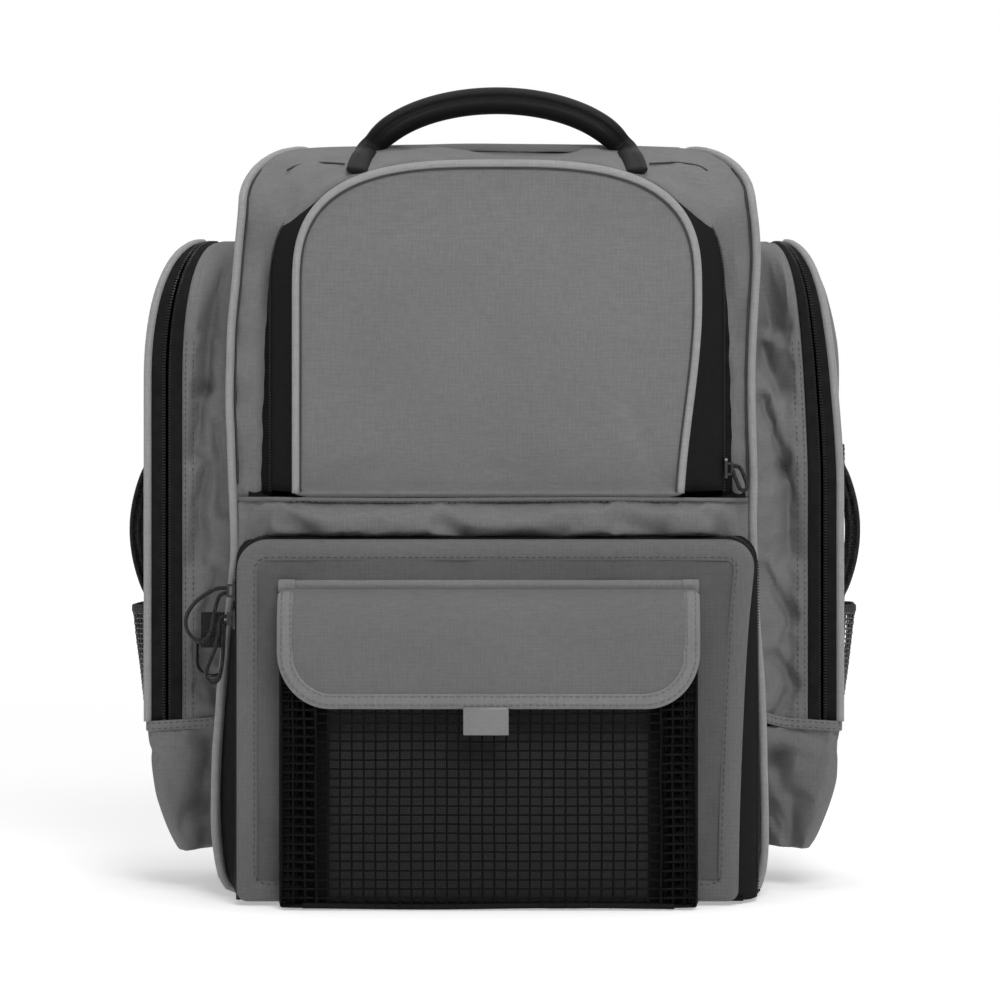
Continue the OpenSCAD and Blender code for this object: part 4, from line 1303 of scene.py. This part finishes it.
def flap_seam():
    """The folded seam strip above the flap, with bound ends."""
    low, high = cad("flap_seam_strip")
    z = (low[2] + high[2]) / 2
    section = [(-3.6, 0.2), (-3.2, -1.9), (-1.6, -2.4), (0.6, -2.0), (2.4, -1.9), (3.6, -1.1), (3.8, 0.2),
               (3.0, 1.4), (-3.0, 1.4)]
    path = [(x, DOOR_Y - 2.4 + 0.3 * math.sin(x / 21.0), z) for x in steps(low[0], high[0], 60)]
    strip = subdivide(sweep("flap_seam_fold", path, section, (0, 0, 1), FLAP_EDGE))
    ride(strip, "tackle_door", ["flap_seam_strip"])
    wider = [(p * 1.12, q * 1.25) for p, q in section]
    for (side, tag), x in zip(SIDES, (low[0] + 4.5, high[0] - 4.5)):
        path = [(x + side * k, DOOR_Y - 3.1, z) for k in steps(-5.5, 5.5, 6)]
        end = subdivide(sweep(f"flap_seam_end_{tag}", path, wider, (0, 0, 1), FLAP_EDGE))
        ride(end, "tackle_door")


def flap():
    rows = [[flap_point(d, u, 0.6) for u in steps(-1, 1, 60)] for d in steps(0, FLAP_LENGTH - 0.8, 34)]
    panel = sheet("pouch_flap_cloth", rows, FLAP_GREY, direction=(0, -1, 0.3), lining=LINING)
    thicken(panel, 1.8, lining=True)
    subdivide(panel)
    ride(panel, "pouch_flap", ["pouch_flap_panel"])
    flap_edge()
    flap_seam()

    # Pull tab: a folded loop of webbing, sewn under the edge
    x, low, end = (TAB_LOW[0] + TAB_HIGH[0]) / 2, TAB_LOW[2], FLAP_END
    path = fillet([(x, -142.2, end + 12), (x, -143.6, end - 4), (x, -145.0, low + 1), (x, -146.0, low + 0.4),
                   (x, -146.4, low + 1.4), (x, -146.2, end - 2), (x, -145.4, end + 2)], 2.0, 4)
    tab = sweep("flap_pull_loop", path, strap_section(TAB_HIGH[0] - TAB_LOW[0], 1.1), (1, 0, 0), TAB)
    ride(tab, "pouch_flap", ["flap_pull_tab"])


pouch()
flap()


# ---- Upper door ----

def lean_in(obj):
    """Leans the upper door's right edge inwards towards its foot, as it sags."""
    for v in obj.data.vertices:
        x, _, z = v.co / MM
        v.co.x -= 11.0 * MM * ease(362, 232, z) * ease(55, 121, x) * ease(138, 126, x)
    return obj


def upper_panel():
    """Crowned cloth, in rings from the piping in to the middle."""
    inset = 4.2
    bottom = ARCH_BOTTOM + 1.5
    top_run = arch_path(-inset, -inset, bottom, side_n=24, arc_n=64)
    outline = np.array(top_run + [(x, bottom) for x in steps(top_run[-1][0], top_run[0][0], 48)[1:-1]])
    middle = np.array((0.0, 345.0))
    rings = 40
    rows = []
    for i in range(rings):
        t = (i / rings) ** 1.15
        row = []
        for x, z in outline + (middle - outline) * t:
            foot = 5.5 * (1 - ease(0, 26, z - ARCH_BOTTOM)) * ease(0, 0.03, t)
            crown = 4.4 * ease(0, 0.62, t) + 0.9 * ease(0, 0.07, t) - foot
            slack = (0.9 * ripple((x, 0, z), 75, 31) + 0.35 * ripple((x, 0, z), 26, 32)) * ease(0, 0.15, t)
            fold = crease(x, z, DOOR_FOLDS) * ease(0, 0.08, t)
            row.append(np.array((x, ARCH_Y + 2.4 - crown - slack + fold, z)))
        rows.append(row)
    m = len(outline)
    faces = grid_faces(rings, m, close_cols=True) + [tuple((rings - 1) * m + j for j in range(m))]
    panel = mesh("upper_door_cloth", [p for r in rows for p in r], faces, GREY, lining=LINING)
    lean_in(face_out(panel, direction=(0, -1, 0)))
    thicken(panel, 4.5, lining=True)
    ride(panel, "upper_door", ["upper_door_panel"])


def upper_rim():
    """Piping, the dark seam beside it, and the hem along the door's foot."""
    path = [(x, ARCH_Y + 2.6, z) for x, z in arch_path(-2.4, -2.4, ARCH_BOTTOM)]
    cord = sweep("upper_door_piping_cord", resample(path, 4.0)[0], circle(2.4, 12), (0, 1, 0), PIPING)
    ride(lean_in(cord), "upper_door", ["upper_door_piping"])
    path = [(x, ARCH_Y + 1.7, z) for x, z in arch_path(-5.3, -5.3, ARCH_BOTTOM + 1)]
    ride(lean_in(thread("upper_door_seam", resample(path, 4)[0], 0.55, (0, 1, 0))), "upper_door")
    path = [(x, ARCH_Y + 3.6, ARCH_BOTTOM + 0.2) for x in steps(-ARCH_HALF + 3, ARCH_HALF - 3, 50)]
    hem = sweep("upper_door_hem", path, strap_section(3.0, 2.6), (0, 0, 1), GREY)
    ride(lean_in(hem), "upper_door")


def upper_zip():
    """Gussets: on the door from the piping to the zip, and on the bag from the zip to behind the doorway."""
    low = -2.5          # over the top the gusset is flat behind the piping
    bottom, away = ARCH_BOTTOM + 2, (0, -95, 330)
    gusset = loft("upper_gusset_door_side", arch_path(-2.0, -2.0, ARCH_BOTTOM + 1), ARCH_Y + 5,
                  arch_path(14, low, bottom), UPPER_ZIP_Y - 3.2, BLACK, n=6, bulge=0.5, away=away)
    ride(lean_in(gusset), "upper_door", ["upper_zip_door_side"])
    coil = arch_path(14.3, low + 0.3, bottom)
    zip_sides("upper", UPPER_ZIP_Y, "upper_door", (coil, coil),
              (arch_path(13.6, low - 0.5, bottom), arch_path(13.7, low - 0.4, bottom)), away)
    base = np.array(arch_path(0, 0, ARCH_BOTTOM - 1))
    foot = [p + np.array((t[1], -t[0])) * lerp(zip_reach(p[1]) + 4, -5, ease(398, 432, p[1]))
            for p, t in zip(base, tangents(base))]
    obj = loft("upper_gusset_bag_side", arch_path(14, low, ARCH_BOTTOM - 1), UPPER_ZIP_Y + 3.1, foot, SEAM_Y + 2.0,
               TAPE, away=away)
    ride(obj, "bag", ["upper_zip_bag_side"])


upper_panel()
upper_rim()
upper_zip()


# ---- Side pockets ----

POCKET_FRONT, POCKET_BACK, POCKET_TOP = POCKET_LOW[1], POCKET_HIGH[1], POCKET_HIGH[2]
POCKET_ROUND = 45.0
POCKET_WALL, POCKET_BAND = 158.0, 195.5     # how far out the gusset and the zip band start
POCKET_GAP = 0.9                            # half of the gap between the zip's two halves


def pocket_path(inset=0.0, bottom=None, n_side=34, n_arc=12, n_top=4):
    """The pocket's outline as (y, z): up the front, over the top and down the back."""
    bottom = POCKET_SEAM if bottom is None else bottom
    y0, y1, z1, r = POCKET_FRONT + inset, POCKET_BACK - inset, POCKET_TOP - inset, POCKET_ROUND - inset
    turn = [(r * math.sin(math.radians(a)), r * math.cos(math.radians(a))) for a in steps(0, 90, n_arc)[1:]]
    up = [(y0, z) for z in steps(bottom, z1 - r, n_side)]
    over = [(y, z1) for y in steps(y0 + r, y1 - r, n_top)[1:]]
    down = [(y1, z) for z in reversed(steps(bottom, z1 - r, n_side)[:-1])]
    return (up + [(y0 + r - c, z1 - r + s) for s, c in turn] + over
            + [(y1 - r + s, z1 - r + c) for s, c in turn] + down)


def pocket_shape(side, x, y, z):
    """Draws a pocket's top in towards the bag, as a rounded corner; the right pocket lies a little flatter."""
    t = min(max((z - 315.0) / 87.0, 0.0), 1.0)
    k = 0.43 + 0.57 * (1 - t ** 2.3) ** 0.5
    if side > 0:        # at the front only: the zip's slider runs straight along the back
        k *= lerp(0.93 - 0.115 * ease(250, 365, z), 1.0, ease(-25, 45, y))
    return np.array((side * (160 + (x - 160) * k if x > 160 else x), y, z + 4.5 * ease(350, 402, z)))


def pocket_strip(name, side, x0, x1, material, n=6, bulge=0.0, lift=None, bottom=None, lining=None, n_side=34):
    """A strip of the pocket's wall between two distances from the middle. lift(t, x, z) raises its front."""
    path = pocket_path(0.0, bottom, n_side)
    rows = []
    for t in steps(0, 1, n):
        x = lerp(x0, x1, t)
        row = []
        for (y, z), (ty, tz) in zip(path, tangents(path)):
            swell = bulge * math.sin(math.pi * t) + (lift(t, x, z) * max(tz, 0.0) ** 2 if lift else 0.0)
            row.append(pocket_shape(side, x, y, z) + np.array((0, -tz, ty)) * swell)
        rows.append(row)
    return sheet(name, rows, material, away_from=(side * 185, 7, 220), lining=lining)


def outward(path):
    """The direction out of the pocket at each point of a (y, z) path."""
    tan = np.gradient(np.array(path), axis=0)
    return np.stack([np.zeros(len(tan)), -tan[:, 1], tan[:, 0]], axis=1)


def pocket_gusset(side, tag):
    """Grey gusset from behind the body's piping to the zip band: a valley beside the body, and slack."""
    rows_n, n_side = 22, 84
    row_length = len(pocket_path(0.0, None, n_side))
    dip = [(0, 17.0), (0.2, 10.0), (0.45, 3.0), (0.62, -1.5), (0.74, 0.6), (0.88, 1.4), (1.0, 0.4)]
    valley = [(0, -5.0), (0.2, -10.0), (0.45, -8.0), (0.62, -4.5), (0.78, 0.0), (0.88, 1.4), (1.0, 0.4)]

    def lift(t, x, z):
        free = math.sin(math.pi * min(t * 1.05, 1.0))
        # Near its top the gusset sinks in beside the body; at the left there is room for the ring to swing
        deep = ease(275, 335, z) if side > 0 else 0.45 * ease(300, 350, z)
        clear = 1 - 0.75 * ease(100, 116, z) * ease(176, 160, z) if side < 0 else 1.0
        slack = free * (1.4 * ripple((x, 0, z * 0.6), 24, 60 + side) + 0.7 * ripple((x, 0, z), 11, 61))
        line = lerp(float(through(dip, t)), float(through(valley, t)), deep)
        return clear * line - crease(x, z, GUSSET_FOLDS[tag]) + slack

    gusset = pocket_strip(f"{tag}_pocket_gusset_cloth", side, POCKET_WALL, POCKET_BAND + 1.5, GREY, n=rows_n,
                          lift=lift, lining=LINING, n_side=n_side)
    sewn(gusset, grow=0.04, cap=4.0, stiff=1.5, pin=lambda i, p: i // row_length >= rows_n - 4)
    thicken(gusset, 1.4, lining=True)
    subdivide(gusset)
    ride(gusset, "bag", [f"{tag}_pocket_gusset"])


def pocket_zip(side, tag, door):
    """Black band, its fixed half and its door half, the coil between them, and the rows of stitches beside it."""
    band = pocket_strip(f"{tag}_zip_band_bag", side, POCKET_BAND, POCKET_ZIP - POCKET_GAP, TAPE, n=5,
                        bulge=0.4, lift=lambda t, x, z: 1.7 - 1.0 * t, lining=LINING)
    thicken(band, 1.6)
    ride(band, "bag", [f"{tag}_zip_bag_side"])
    outer = pocket_strip(f"{tag}_zip_band_door", side, POCKET_ZIP + POCKET_GAP, POCKET_OUT - 3.0, TAPE, n=4,
                         bulge=0.4, bottom=POCKET_SEAM + 1)
    thicken(outer, 1.4)
    ride(outer, door, [f"{tag}_zip_door_side"])
    for name, x, body, bottom in (("bag", POCKET_ZIP - 2.0, "bag", POCKET_SEAM),
                                  ("door", POCKET_ZIP + 2.0, door, POCKET_SEAM + 1)):
        path = pocket_path(-0.1, bottom)
        pts = [pocket_shape(side, x, y, z) for y, z in path]
        ride(ribs(f"{tag}_zip_coil_{name}", pts, (1, 0, 0), outward(path), pitch=1.8), body)
    # The stitches go as far up as the pocket is straight
    for k, x in enumerate((193.4, 188.6)):
        path = [(y, z) for y, z in pocket_path(-1.6 + 0.2 * k) if y < 0 and z < 345]
        pts = [pocket_shape(side, x, y, z) for y, z in path]
        sewing = stitches(f"{tag}_pocket_stitches_{k + 1}", pts, outward(path), DARK_THREAD, 1.8, 1.9, 0.24)
        ride(sewing, "bag")


def pocket_door(side, tag, door):
    """Piping round the door's rim, and crowned cloth inside it."""
    pts = [pocket_shape(side, POCKET_OUT - 1.9, y, z) for y, z in pocket_path(0.2, POCKET_SEAM + 1.5)]
    ride(sweep(f"{tag}_pocket_piping", resample(pts, 4)[0], circle(2.5, 10), (1, 0, 0), PIPING), door)
    straight = POCKET_TOP - POCKET_ROUND
    rows = []
    for z in steps(POCKET_SEAM + 1.5, straight, 40) + [straight + POCKET_ROUND * math.sin(math.radians(a))
                                                       for a in steps(0, 86, 14)[1:]]:
        up = max(z - straight, 0) / POCKET_ROUND
        cut = POCKET_ROUND * (1 - math.sqrt(max(1 - up * up, 0)))
        y0, y1 = POCKET_FRONT + cut + 2, POCKET_BACK - cut - 2
        row = []
        for t in steps(0, 1, 26):
            y = lerp(y0, y1, t)
            d = min(y - y0, y1 - y, z - POCKET_SEAM, POCKET_TOP - z)
            p = pocket_shape(side, POCKET_OUT - 1.2, y, z)
            crown = 2.0 * ease(0, 30, d) + 0.8 * ripple(p, 45, side) * ease(0, 12, d)
            row.append(p + np.array((side * crown, 0, 0)))
        rows.append(row)
    panel = sheet(f"{tag}_pocket_door_cloth", rows, GREY, direction=(side, 0, 0), lining=LINING)
    sewn(panel, grow=0.02, cap=2.0, stiff=3.0)
    thicken(panel, 2.6, lining=True)
    ride(panel, door, [f"{tag}_side_door"])


def pocket_section(side, z, t, count):
    """The lower part's outline at a height, as count points; t is 0 at its seam and 1 at its foot."""
    folds = GUSSET_FOLDS["left" if side < 0 else "right"]
    x_out, x_back = [pocket_shape(side, POCKET_OUT - 1.5, y, POCKET_SEAM)[0] * side - 3.5 * t - 15 * t ** 2.2
                     for y in (POCKET_FRONT, POCKET_BACK)]
    y0, y1 = POCKET_FRONT + 8 * t * t, POCKET_BACK - 9 * t * t
    wall = 159 + 8 * ease(0.45, 1, t)
    fold = 24 * ease(0.1, 0.75, t)
    pts = fillet([(side * wall, y0 - 15 * (1 - ease(0, 0.4, t)) + fold, z),
                  (side * lerp(wall, x_out, 0.42), y0 + 0.5 + 0.32 * fold, z),
                  (side * (x_out - 5), y0 - 1.0, z), (side * x_out, y0 + 5, z), (side * x_back, y1, z),
                  (side * wall, y1 - 1.5, z)], 7, 5)
    line = list(resample(pts, path_length(pts) / (count - 1))[0])[:count]
    line += [line[-1]] * (count - len(line))
    row = []
    for p in line:
        front = ease(y0 + 12, y0 + 2, p[1])
        slack = (crease(abs(p[0]), p[2], folds) + 1.3 * ripple(p, 19, side + 9) * t) * front
        row.append(p + np.array((0, slack, -1.2 * ripple(p, 30, side + 2) * t)))
    return row


def pocket_base(side, tag):
    """The lower part: it tapers towards the ground and tucks in beside the body."""
    count, n, low_z = 90, 28, POCKET_BASE - 7
    rows = [pocket_section(side, z, (POCKET_SEAM - z) / (POCKET_SEAM - low_z), count)
            for z in steps(POCKET_SEAM - 0.6, low_z, n)]
    last = rows[-1]
    for f in (0.9, 0.6, 0.3, 0.05):
        rows.append([np.array((side * (180 + (abs(p[0]) - 180) * f), lerp(7, p[1], 0.35 + 0.65 * f),
                               p[2] - 3.0 * math.sqrt(1 - f))) for p in last])
    base = sheet(f"{tag}_pocket_base_cloth", rows, GREY, away_from=(side * 182, 7, 75), lining=LINING)
    sewn(base, grow=0.05, cap=3.5, stiff=1.2, pin=lambda i, p: i // count > n + 1)
    thicken(base, 1.5, lining=True)
    subdivide(base)
    ride(base, "bag", [f"{tag}_pocket_base"])


def pocket_hem(side, tag):
    """The hem over the lower part, with two rows of stitches."""
    y0, y1 = POCKET_FRONT, POCKET_BACK
    x_rim, x_far = [pocket_shape(side, POCKET_OUT - 1, y, POCKET_SEAM)[0] for y in (y0, y1)]
    ring, _ = resample(fillet([(side * 160, y0 - 15, POCKET_SEAM + 7), (side * 176, y0 - 1.8, POCKET_SEAM + 1),
                               (x_rim, y0 - 1.8, POCKET_SEAM - 1.5), (x_far, y1 + 1.2, POCKET_SEAM - 1.5),
                               (side * 160, y1 + 1.2, POCKET_SEAM - 1.5)], 8, 6), 4)
    ride(sweep(f"{tag}_pocket_hem", ring, strap_section(6.5, 1.5), (0, 0, 1), GREY), "bag")
    for j, up in enumerate((1.6, -1.8)):
        row = [(p[0], p[1] - 0.85, p[2] + up) for p in ring if p[1] < y0 + 3]
        sewing = stitches(f"{tag}_pocket_hem_stitches_{j + 1}", row, (0, -1, 0), DARK_THREAD, 1.8, 1.9, 0.22)
        ride(sewing, "bag")


def mesh_sleeve(side, tag, door):
    """It opens at the top and lies flat at its foot."""
    low, high = cad(f"{tag}_mesh_sleeve")

    def sleeve(u, v, weave):
        y, z = lerp(low[1], high[1], u), lerp(low[2] + 0.5, high[2], v)
        edge_u = min(u, 1 - u) * (high[1] - low[1])
        lift = (0.8 + 9.0 * v) * ease(-2, 16, edge_u)
        out = 0.9 + lift + weave + 0.4 * ripple((0, y, z), 20, side)
        return (pocket_shape(side, POCKET_OUT, y, 200)[0] + side * out, y, z)

    ride(net(f"{tag}_sleeve_mesh", sleeve, 26, 22, 0.5, SLEEVE), door, [f"{tag}_mesh_sleeve"])
    path = [sleeve(u, 1.0, 0) for u in steps(0, 1, 24)]
    ride(sweep(f"{tag}_sleeve_hem", path, strap_section(5, 1.8), (0, 0, 1), WEBBING), door)


def grab_loop(side, tag, door):
    """Doubled webbing that stands off the door, boxed down at both ends."""
    low, high = cad(f"{tag}_grab_loop")
    y, z0, z1 = (low[1] + high[1]) / 2, low[2], high[2]
    reach = max(abs(low[0]), abs(high[0])) - POCKET_OUT - 1.0
    foot_x = pocket_shape(side, POCKET_OUT, 0, 200)[0] * side + 2.6
    for k, (height, thick, tall) in enumerate(((1.0, 3.4, 0), (0.55, 2.4, 8))):
        path = [(side * foot_x, y, z0 - 10 + tall), (side * foot_x, y, z0 + 3 + tall)]
        path += [(side * (foot_x + (reach - 3.4) * height * math.sin(math.pi * t) ** 0.8), y,
                  lerp(z0 + 3 + tall, z1 - 3 - tall, t)) for t in steps(0.06, 0.94, 20)]
        path += [(side * foot_x, y, z1 - 3 - tall), (side * foot_x, y, z1 + 10 - tall)]
        loop = sweep(f"{tag}_grab_webbing_{k + 1}", fillet(path, 3, 3),
                     strap_section(high[1] - low[1] - 2 * k, thick), (0, 1, 0), WEBBING)
        ride(loop, door, [f"{tag}_grab_loop"] if k == 0 else [])
    for j, z in enumerate((z0 - 4, z1 + 4)):
        square = [(side * (foot_x + 1.8), y + a, z + b)
                  for a, b in ((-10, -4.5), (10, -4.5), (10, 4.5), (-10, 4.5), (-10, -4.5), (10, 4.5))]
        ride(stitches(f"{tag}_grab_box_{j + 1}", square, (side, 0, 0), THREAD, 2.2, 0.9, 0.3), door)


for side, tag in SIDES:
    pocket_gusset(side, tag)
    pocket_zip(side, tag, f"{tag}_pocket_door")
    pocket_door(side, tag, f"{tag}_pocket_door")
    pocket_base(side, tag)
    pocket_hem(side, tag)
    mesh_sleeve(side, tag, f"{tag}_pocket_door")
    grab_loop(side, tag, f"{tag}_pocket_door")


# ---- Carry handle, ring and sliders ----

HANDLE_HALF, HANDLE_FOOT, HANDLE_Y, HANDLE_PIVOT = 82.0, 448.0, -48.0, 462.0
HANDLE_TOP = cad("carry_handle")[1][2] - 8.3
FRONT_CLOTH = BVHTree.FromPolygons([v.co for v in YOKE.data.vertices],
                                   [tuple(f.vertices) for f in YOKE.data.polygons])


def on_cloth(x, z, lift=2.4):
    """The point of the front cloth at x and z, raised forwards."""
    hit = FRONT_CLOTH.ray_cast(Vector((x * MM, -0.2, z * MM)), Vector((0, 1, 0)))[0]
    return (x, (hit.y / MM if hit else front_y(z)) - lift, z)


def handle_section(f):
    """Two ribs with a groove between them on both faces; f is 0 where it is sewn flat and 1 in the middle."""
    pts = []
    depth, tall = 2.6 + 7.4 * f, 7.0 + 1.3 * f
    for k in range(32):
        a = 2 * math.pi * k / 32
        groove = (0.4 + 3.0 * f) * math.exp(-((math.sin(a) * tall + 1.0) / 1.3) ** 2)
        c = math.cos(a)
        pts.append(((depth - groove) * math.copysign(abs(c) ** 0.8, c), tall * math.sin(a)))
    return pts


def handle():
    rise = HANDLE_TOP - HANDLE_FOOT
    start = math.asin((HANDLE_PIVOT + 1.5 - HANDLE_FOOT) / rise)
    bow = [(HANDLE_HALF * math.cos(t), HANDLE_Y, HANDLE_FOOT + rise * math.sin(t))
           for t in steps(start, math.pi - start, 40)]
    for side in (1, -1):
        foot = [on_cloth(side * 84.5, 441.0), on_cloth(side * 83.8, 445.5), on_cloth(side * 82.8, 450.0, 3.2),
                on_cloth(side * 81.4, 454.5, 4.2), (side * 80.2, -52.0, 460.0)]
        bow = foot + bow if side > 0 else bow + foot[::-1]
    path, _ = resample(spline(bow, 4), 3.4)
    sections = [handle_section(ease(HANDLE_PIVOT - 3, HANDLE_PIVOT + 12, p[2])) for p in path]
    grip = subdivide(sweep("carry_grip", path, sections, (0, 1, 0.001), GRIP))
    blended(grip, "grip", ("bag", "handle"), (0, HANDLE_Y, HANDLE_PIVOT - 1), (0, HANDLE_Y, HANDLE_PIVOT + 10),
            ["carry_handle", "handle_tabs"])


def handle_patch():
    """The patch on the roll of the top, and its seams, which curve out from the ends of the handle."""
    low, high = cad("handle_patch")
    n = 14
    rows = []
    for i in range(n + 1):
        s = lerp(up_front(456.5), ROLL_END + 8, i / n)
        row = []
        for x in steps(low[0], high[0], 60):
            p = on_front(x, s) if s <= ROLL_END else np.array((x, SEAM_Y + ROLL_FRONT + s - ROLL_END, BODY_TOP))
            a = min((s - ROLL_START) / ROLL_FRONT, math.pi / 2)
            normal = np.array((0, -math.cos(a), math.sin(a)))
            p = wrinkle(p, normal, 0.5) + normal * (1.6 + 0.6 * math.sin(math.pi * i / n))
            p[2] += 2.2 * ease(440, 462, p[2]) * (1 - (x / SHOULDER_X) ** 2)
            row.append(p)
        rows.append(row)
    patch = sheet("handle_patch_cloth", rows, GREY, direction=(0, -0.5, 1))
    thicken(patch, 0.9)
    ride(patch, "bag", ["handle_patch"])
    for side, tag in SIDES:
        line = [on_cloth(side * x, z)
                for x, z in ((129, 445.5), (123, 448.5), (111, 449.8), (101, 449), (93, 448))]
        ride(thread(f"handle_patch_seam_{tag}", spline(line, 5), 0.6, (0, 1, 0.2)), "bag")


def paint(material, *nodes):
    """Gives CAD nodes that stay a better material."""
    for node in nodes:
        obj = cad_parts[node]
        if not obj.material_slots:
            obj.data.materials.append(material)
        for s in obj.material_slots:
            s.link = "OBJECT"
            s.material = material


handle()
handle_patch()
paint(METAL, "lower_slider_a", "lower_slider_b", "upper_slider", "left_slider", "right_slider", "d_ring")
paint(PLASTIC, "left_ladder_lock", "right_ladder_lock")
paint(WEBBING, "d_ring_tab", "strap_tabs")
paint(BOARD, "frame_sheet", "base_board")
paint(BLACK, "divider_shelf", "base_panel", "back_wall")


# ---- Back: padding and shoulder straps ----

STRAP_TOP, STRAP_BOTTOM = np.array((56.0, 94.0, 428.0)), np.array((126.0, 94.0, 44.0))
STRAP_BULGE = 48.0
STRAP_PAD_END = 0.63        # as a share of the strap's length
STRAP_WIDTH, STRAP_THICK = 60.0, 11.0


def strap_point(s, side):
    p = STRAP_TOP + s * (STRAP_BOTTOM - STRAP_TOP)
    p = p + np.array((0, STRAP_BULGE * max(math.sin(math.pi * s), 0.0) ** 0.75, 0))
    return np.array((side * p[0], p[1], p[2]))


def back_padding():
    """Three sewn lobes of spacer mesh on the back, and the binding round them."""
    x0, x1, z0, z1 = PAD_LOW[0] + 3, PAD_HIGH[0] - 3, PAD_LOW[2] + 3, PAD_HIGH[2] - 3
    y0, y1 = PAD_LOW[1] + 0.3, PAD_HIGH[1] - 0.5
    channels = (z0 + 0.36 * (z1 - z0), z0 + 0.68 * (z1 - z0))
    r = 34.0
    rows = []
    for z in steps(z0, z1, 70):
        d_end = min(z - z0, z1 - z)
        cut = 0.0 if d_end > r else r - math.sqrt(max(r * r - (r - d_end) ** 2, 0))
        half = (x1 - x0) / 2 - cut
        row = []
        for t in steps(-1, 1, 50):
            x = t * half
            d = min(d_end, (1 - abs(t)) * half, abs(x) * 0.9 + 1.0)
            groove = min(abs(z - c) for c in channels)
            puff = ease(0, 16, d) * (0.35 + 0.65 * ease(0, 9, groove))
            row.append((x, lerp(y0 + 1.5, y1, puff), z))
        rows.append(row)
    pad = sheet("back_padding_cloth", rows, AIR_MESH, direction=(0, 1, 0))
    sewn(pad, grow=0.006, cap=1.2, stiff=4.0)
    thicken(pad, 1.2)
    subdivide(pad)
    ride(pad, "bag", ["back_pad"])
    rim = [row[0] for row in rows] + rows[-1][1:] + [row[-1] for row in reversed(rows[:-1])] + rows[0][-2::-1]
    path = resample([(x, y0 + 1.2, z) for x, _, z in rim], 5)[0]
    ride(sweep("back_padding_binding", path, circle(2.2, 8), (0, 1, 0), BLACK), "bag")


def strap_width(s):
    u = s / STRAP_PAD_END
    return (STRAP_WIDTH * (0.84 + 0.16 * math.sin(math.pi * min(u * 1.1, 1.0)))
            * (1.0 - 0.42 * ease(0.86, 1.0, u)) * (0.86 + 0.14 * ease(0.0, 0.2, u)))


def strap_pad_section(s):
    """A flat oval, thin at the strap's ends and drawn in along the sewn channels beside its edges."""
    half = strap_width(s) / 2
    thick = (STRAP_THICK / 2 * (0.28 + 0.72 * ease(0.02, 0.12, s))
             * (0.45 + 0.55 * ease(0, 0.07, STRAP_PAD_END - s)))
    pts = []
    for k in range(32):
        a = 2 * math.pi * k / 32
        c, q = math.cos(a), math.sin(a)
        x = half * math.copysign(abs(c) ** 0.55, c)
        channel = 1.0 - 0.5 * math.exp(-((abs(x) - half + 7.5) / 2.2) ** 2)
        pts.append((x, thick * math.copysign(abs(q) ** 0.75, q) * channel))
    return pts


def shoulder_padding(side, tag, body):
    along = steps(0.0, STRAP_PAD_END, 54)
    path = [strap_point(s, side) for s in along]
    path[0] = path[0] + np.array((0, -1.0, 4))
    ends = strap_point(0.0, side), strap_point(0.10, side)
    pad = sweep(f"{tag}_shoulder_padding", path, [strap_pad_section(s) for s in along], (1, 0, 0), FOAM)
    blended(pad, "strap_padding", ("bag", body), *ends, [f"{tag}_shoulder_pad"])
    for k, way in enumerate((-1, 1)):
        line = [p + np.array((way * (strap_width(s) / 2 - 0.4), 0, 0)) for s, p in zip(along, path)]
        tape = sweep(f"{tag}_shoulder_binding_{k + 1}", line, strap_section(3.0, 5.0), (1, 0, 0), BLACK)
        blended(tape, "strap_padding", ("bag", body), *ends)


def shoulder_webbing(side, tag, body):
    """Daisy-chain webbing down the middle, with bar tacks."""
    line = [strap_point(s, side) + np.array((0, STRAP_THICK / 2 + 0.9, 0))
            for s in steps(0.10, STRAP_PAD_END - 0.02, 36)]
    ride(sweep(f"{tag}_shoulder_webbing", line, strap_section(20, 1.6), (1, 0, 0), WEBBING), body)
    tacks = []
    for s in steps(0.16, STRAP_PAD_END - 0.05, 6):
        p = strap_point(s, side) + np.array((0, STRAP_THICK / 2 + 2.0, 0))
        tacks.append([p + np.array((x, 0, 0.35 * (-1) ** j)) for j, x in enumerate(steps(-9, 9, 16))])
    ride(tubes(f"{tag}_bar_tacks", tacks, 0.55, BLACK_THREAD, (0, 0, 1)), body)


def adjusting_webbing(side, tag, body):
    """From the ladder lock down to its sewn end, and the free tail, doubled back through the lock."""
    line = [strap_point(s, side) for s in steps(0.668, 1.0, 30)]
    web = sweep(f"{tag}_adjusting_webbing", line, strap_section(25, 1.7), (1, 0, 0), WEBBING)
    blended(web, "webbing", (body, "bag"), strap_point(0.9, side), strap_point(0.995, side),
            [f"{tag}_strap_webbing"])
    p = strap_point(0.655, side)
    tail = [p + np.array(q) for q in ((0, -1.5, -2), (0, 3.2, -1), (0, 5.0, -8), (side * 1.5, 4.5, -30),
                                      (side * 4, 2.5, -58), (side * 6, 1.0, -80))]
    tail = sweep(f"{tag}_webbing_tail", spline(tail, 5), strap_section(25, 1.6), (1, 0, 0), WEBBING)
    ride(tail, body)


def strap_anchor(side, tag):
    """A wedge of cloth at the bottom seam."""
    b = strap_point(1.0, side)
    rows = [[(b[0] + side * lerp(-14 - 16 * u, 14 + 18 * u, v), lerp(88.5, 83, u), b[2] + 12 - 34 * u)
             for v in steps(0, 1, 8)] for u in steps(0, 1, 8)]
    wedge = sheet(f"{tag}_strap_wedge", rows, BLACK, direction=(0, 1, 0))
    thicken(wedge, 2.4)
    ride(wedge, "bag")


back_padding()
for side, tag in SIDES:
    shoulder_padding(side, tag, f"{tag}_strap")
    shoulder_webbing(side, tag, f"{tag}_strap")
    adjusting_webbing(side, tag, f"{tag}_strap")
    strap_anchor(side, tag)

run_cloth()
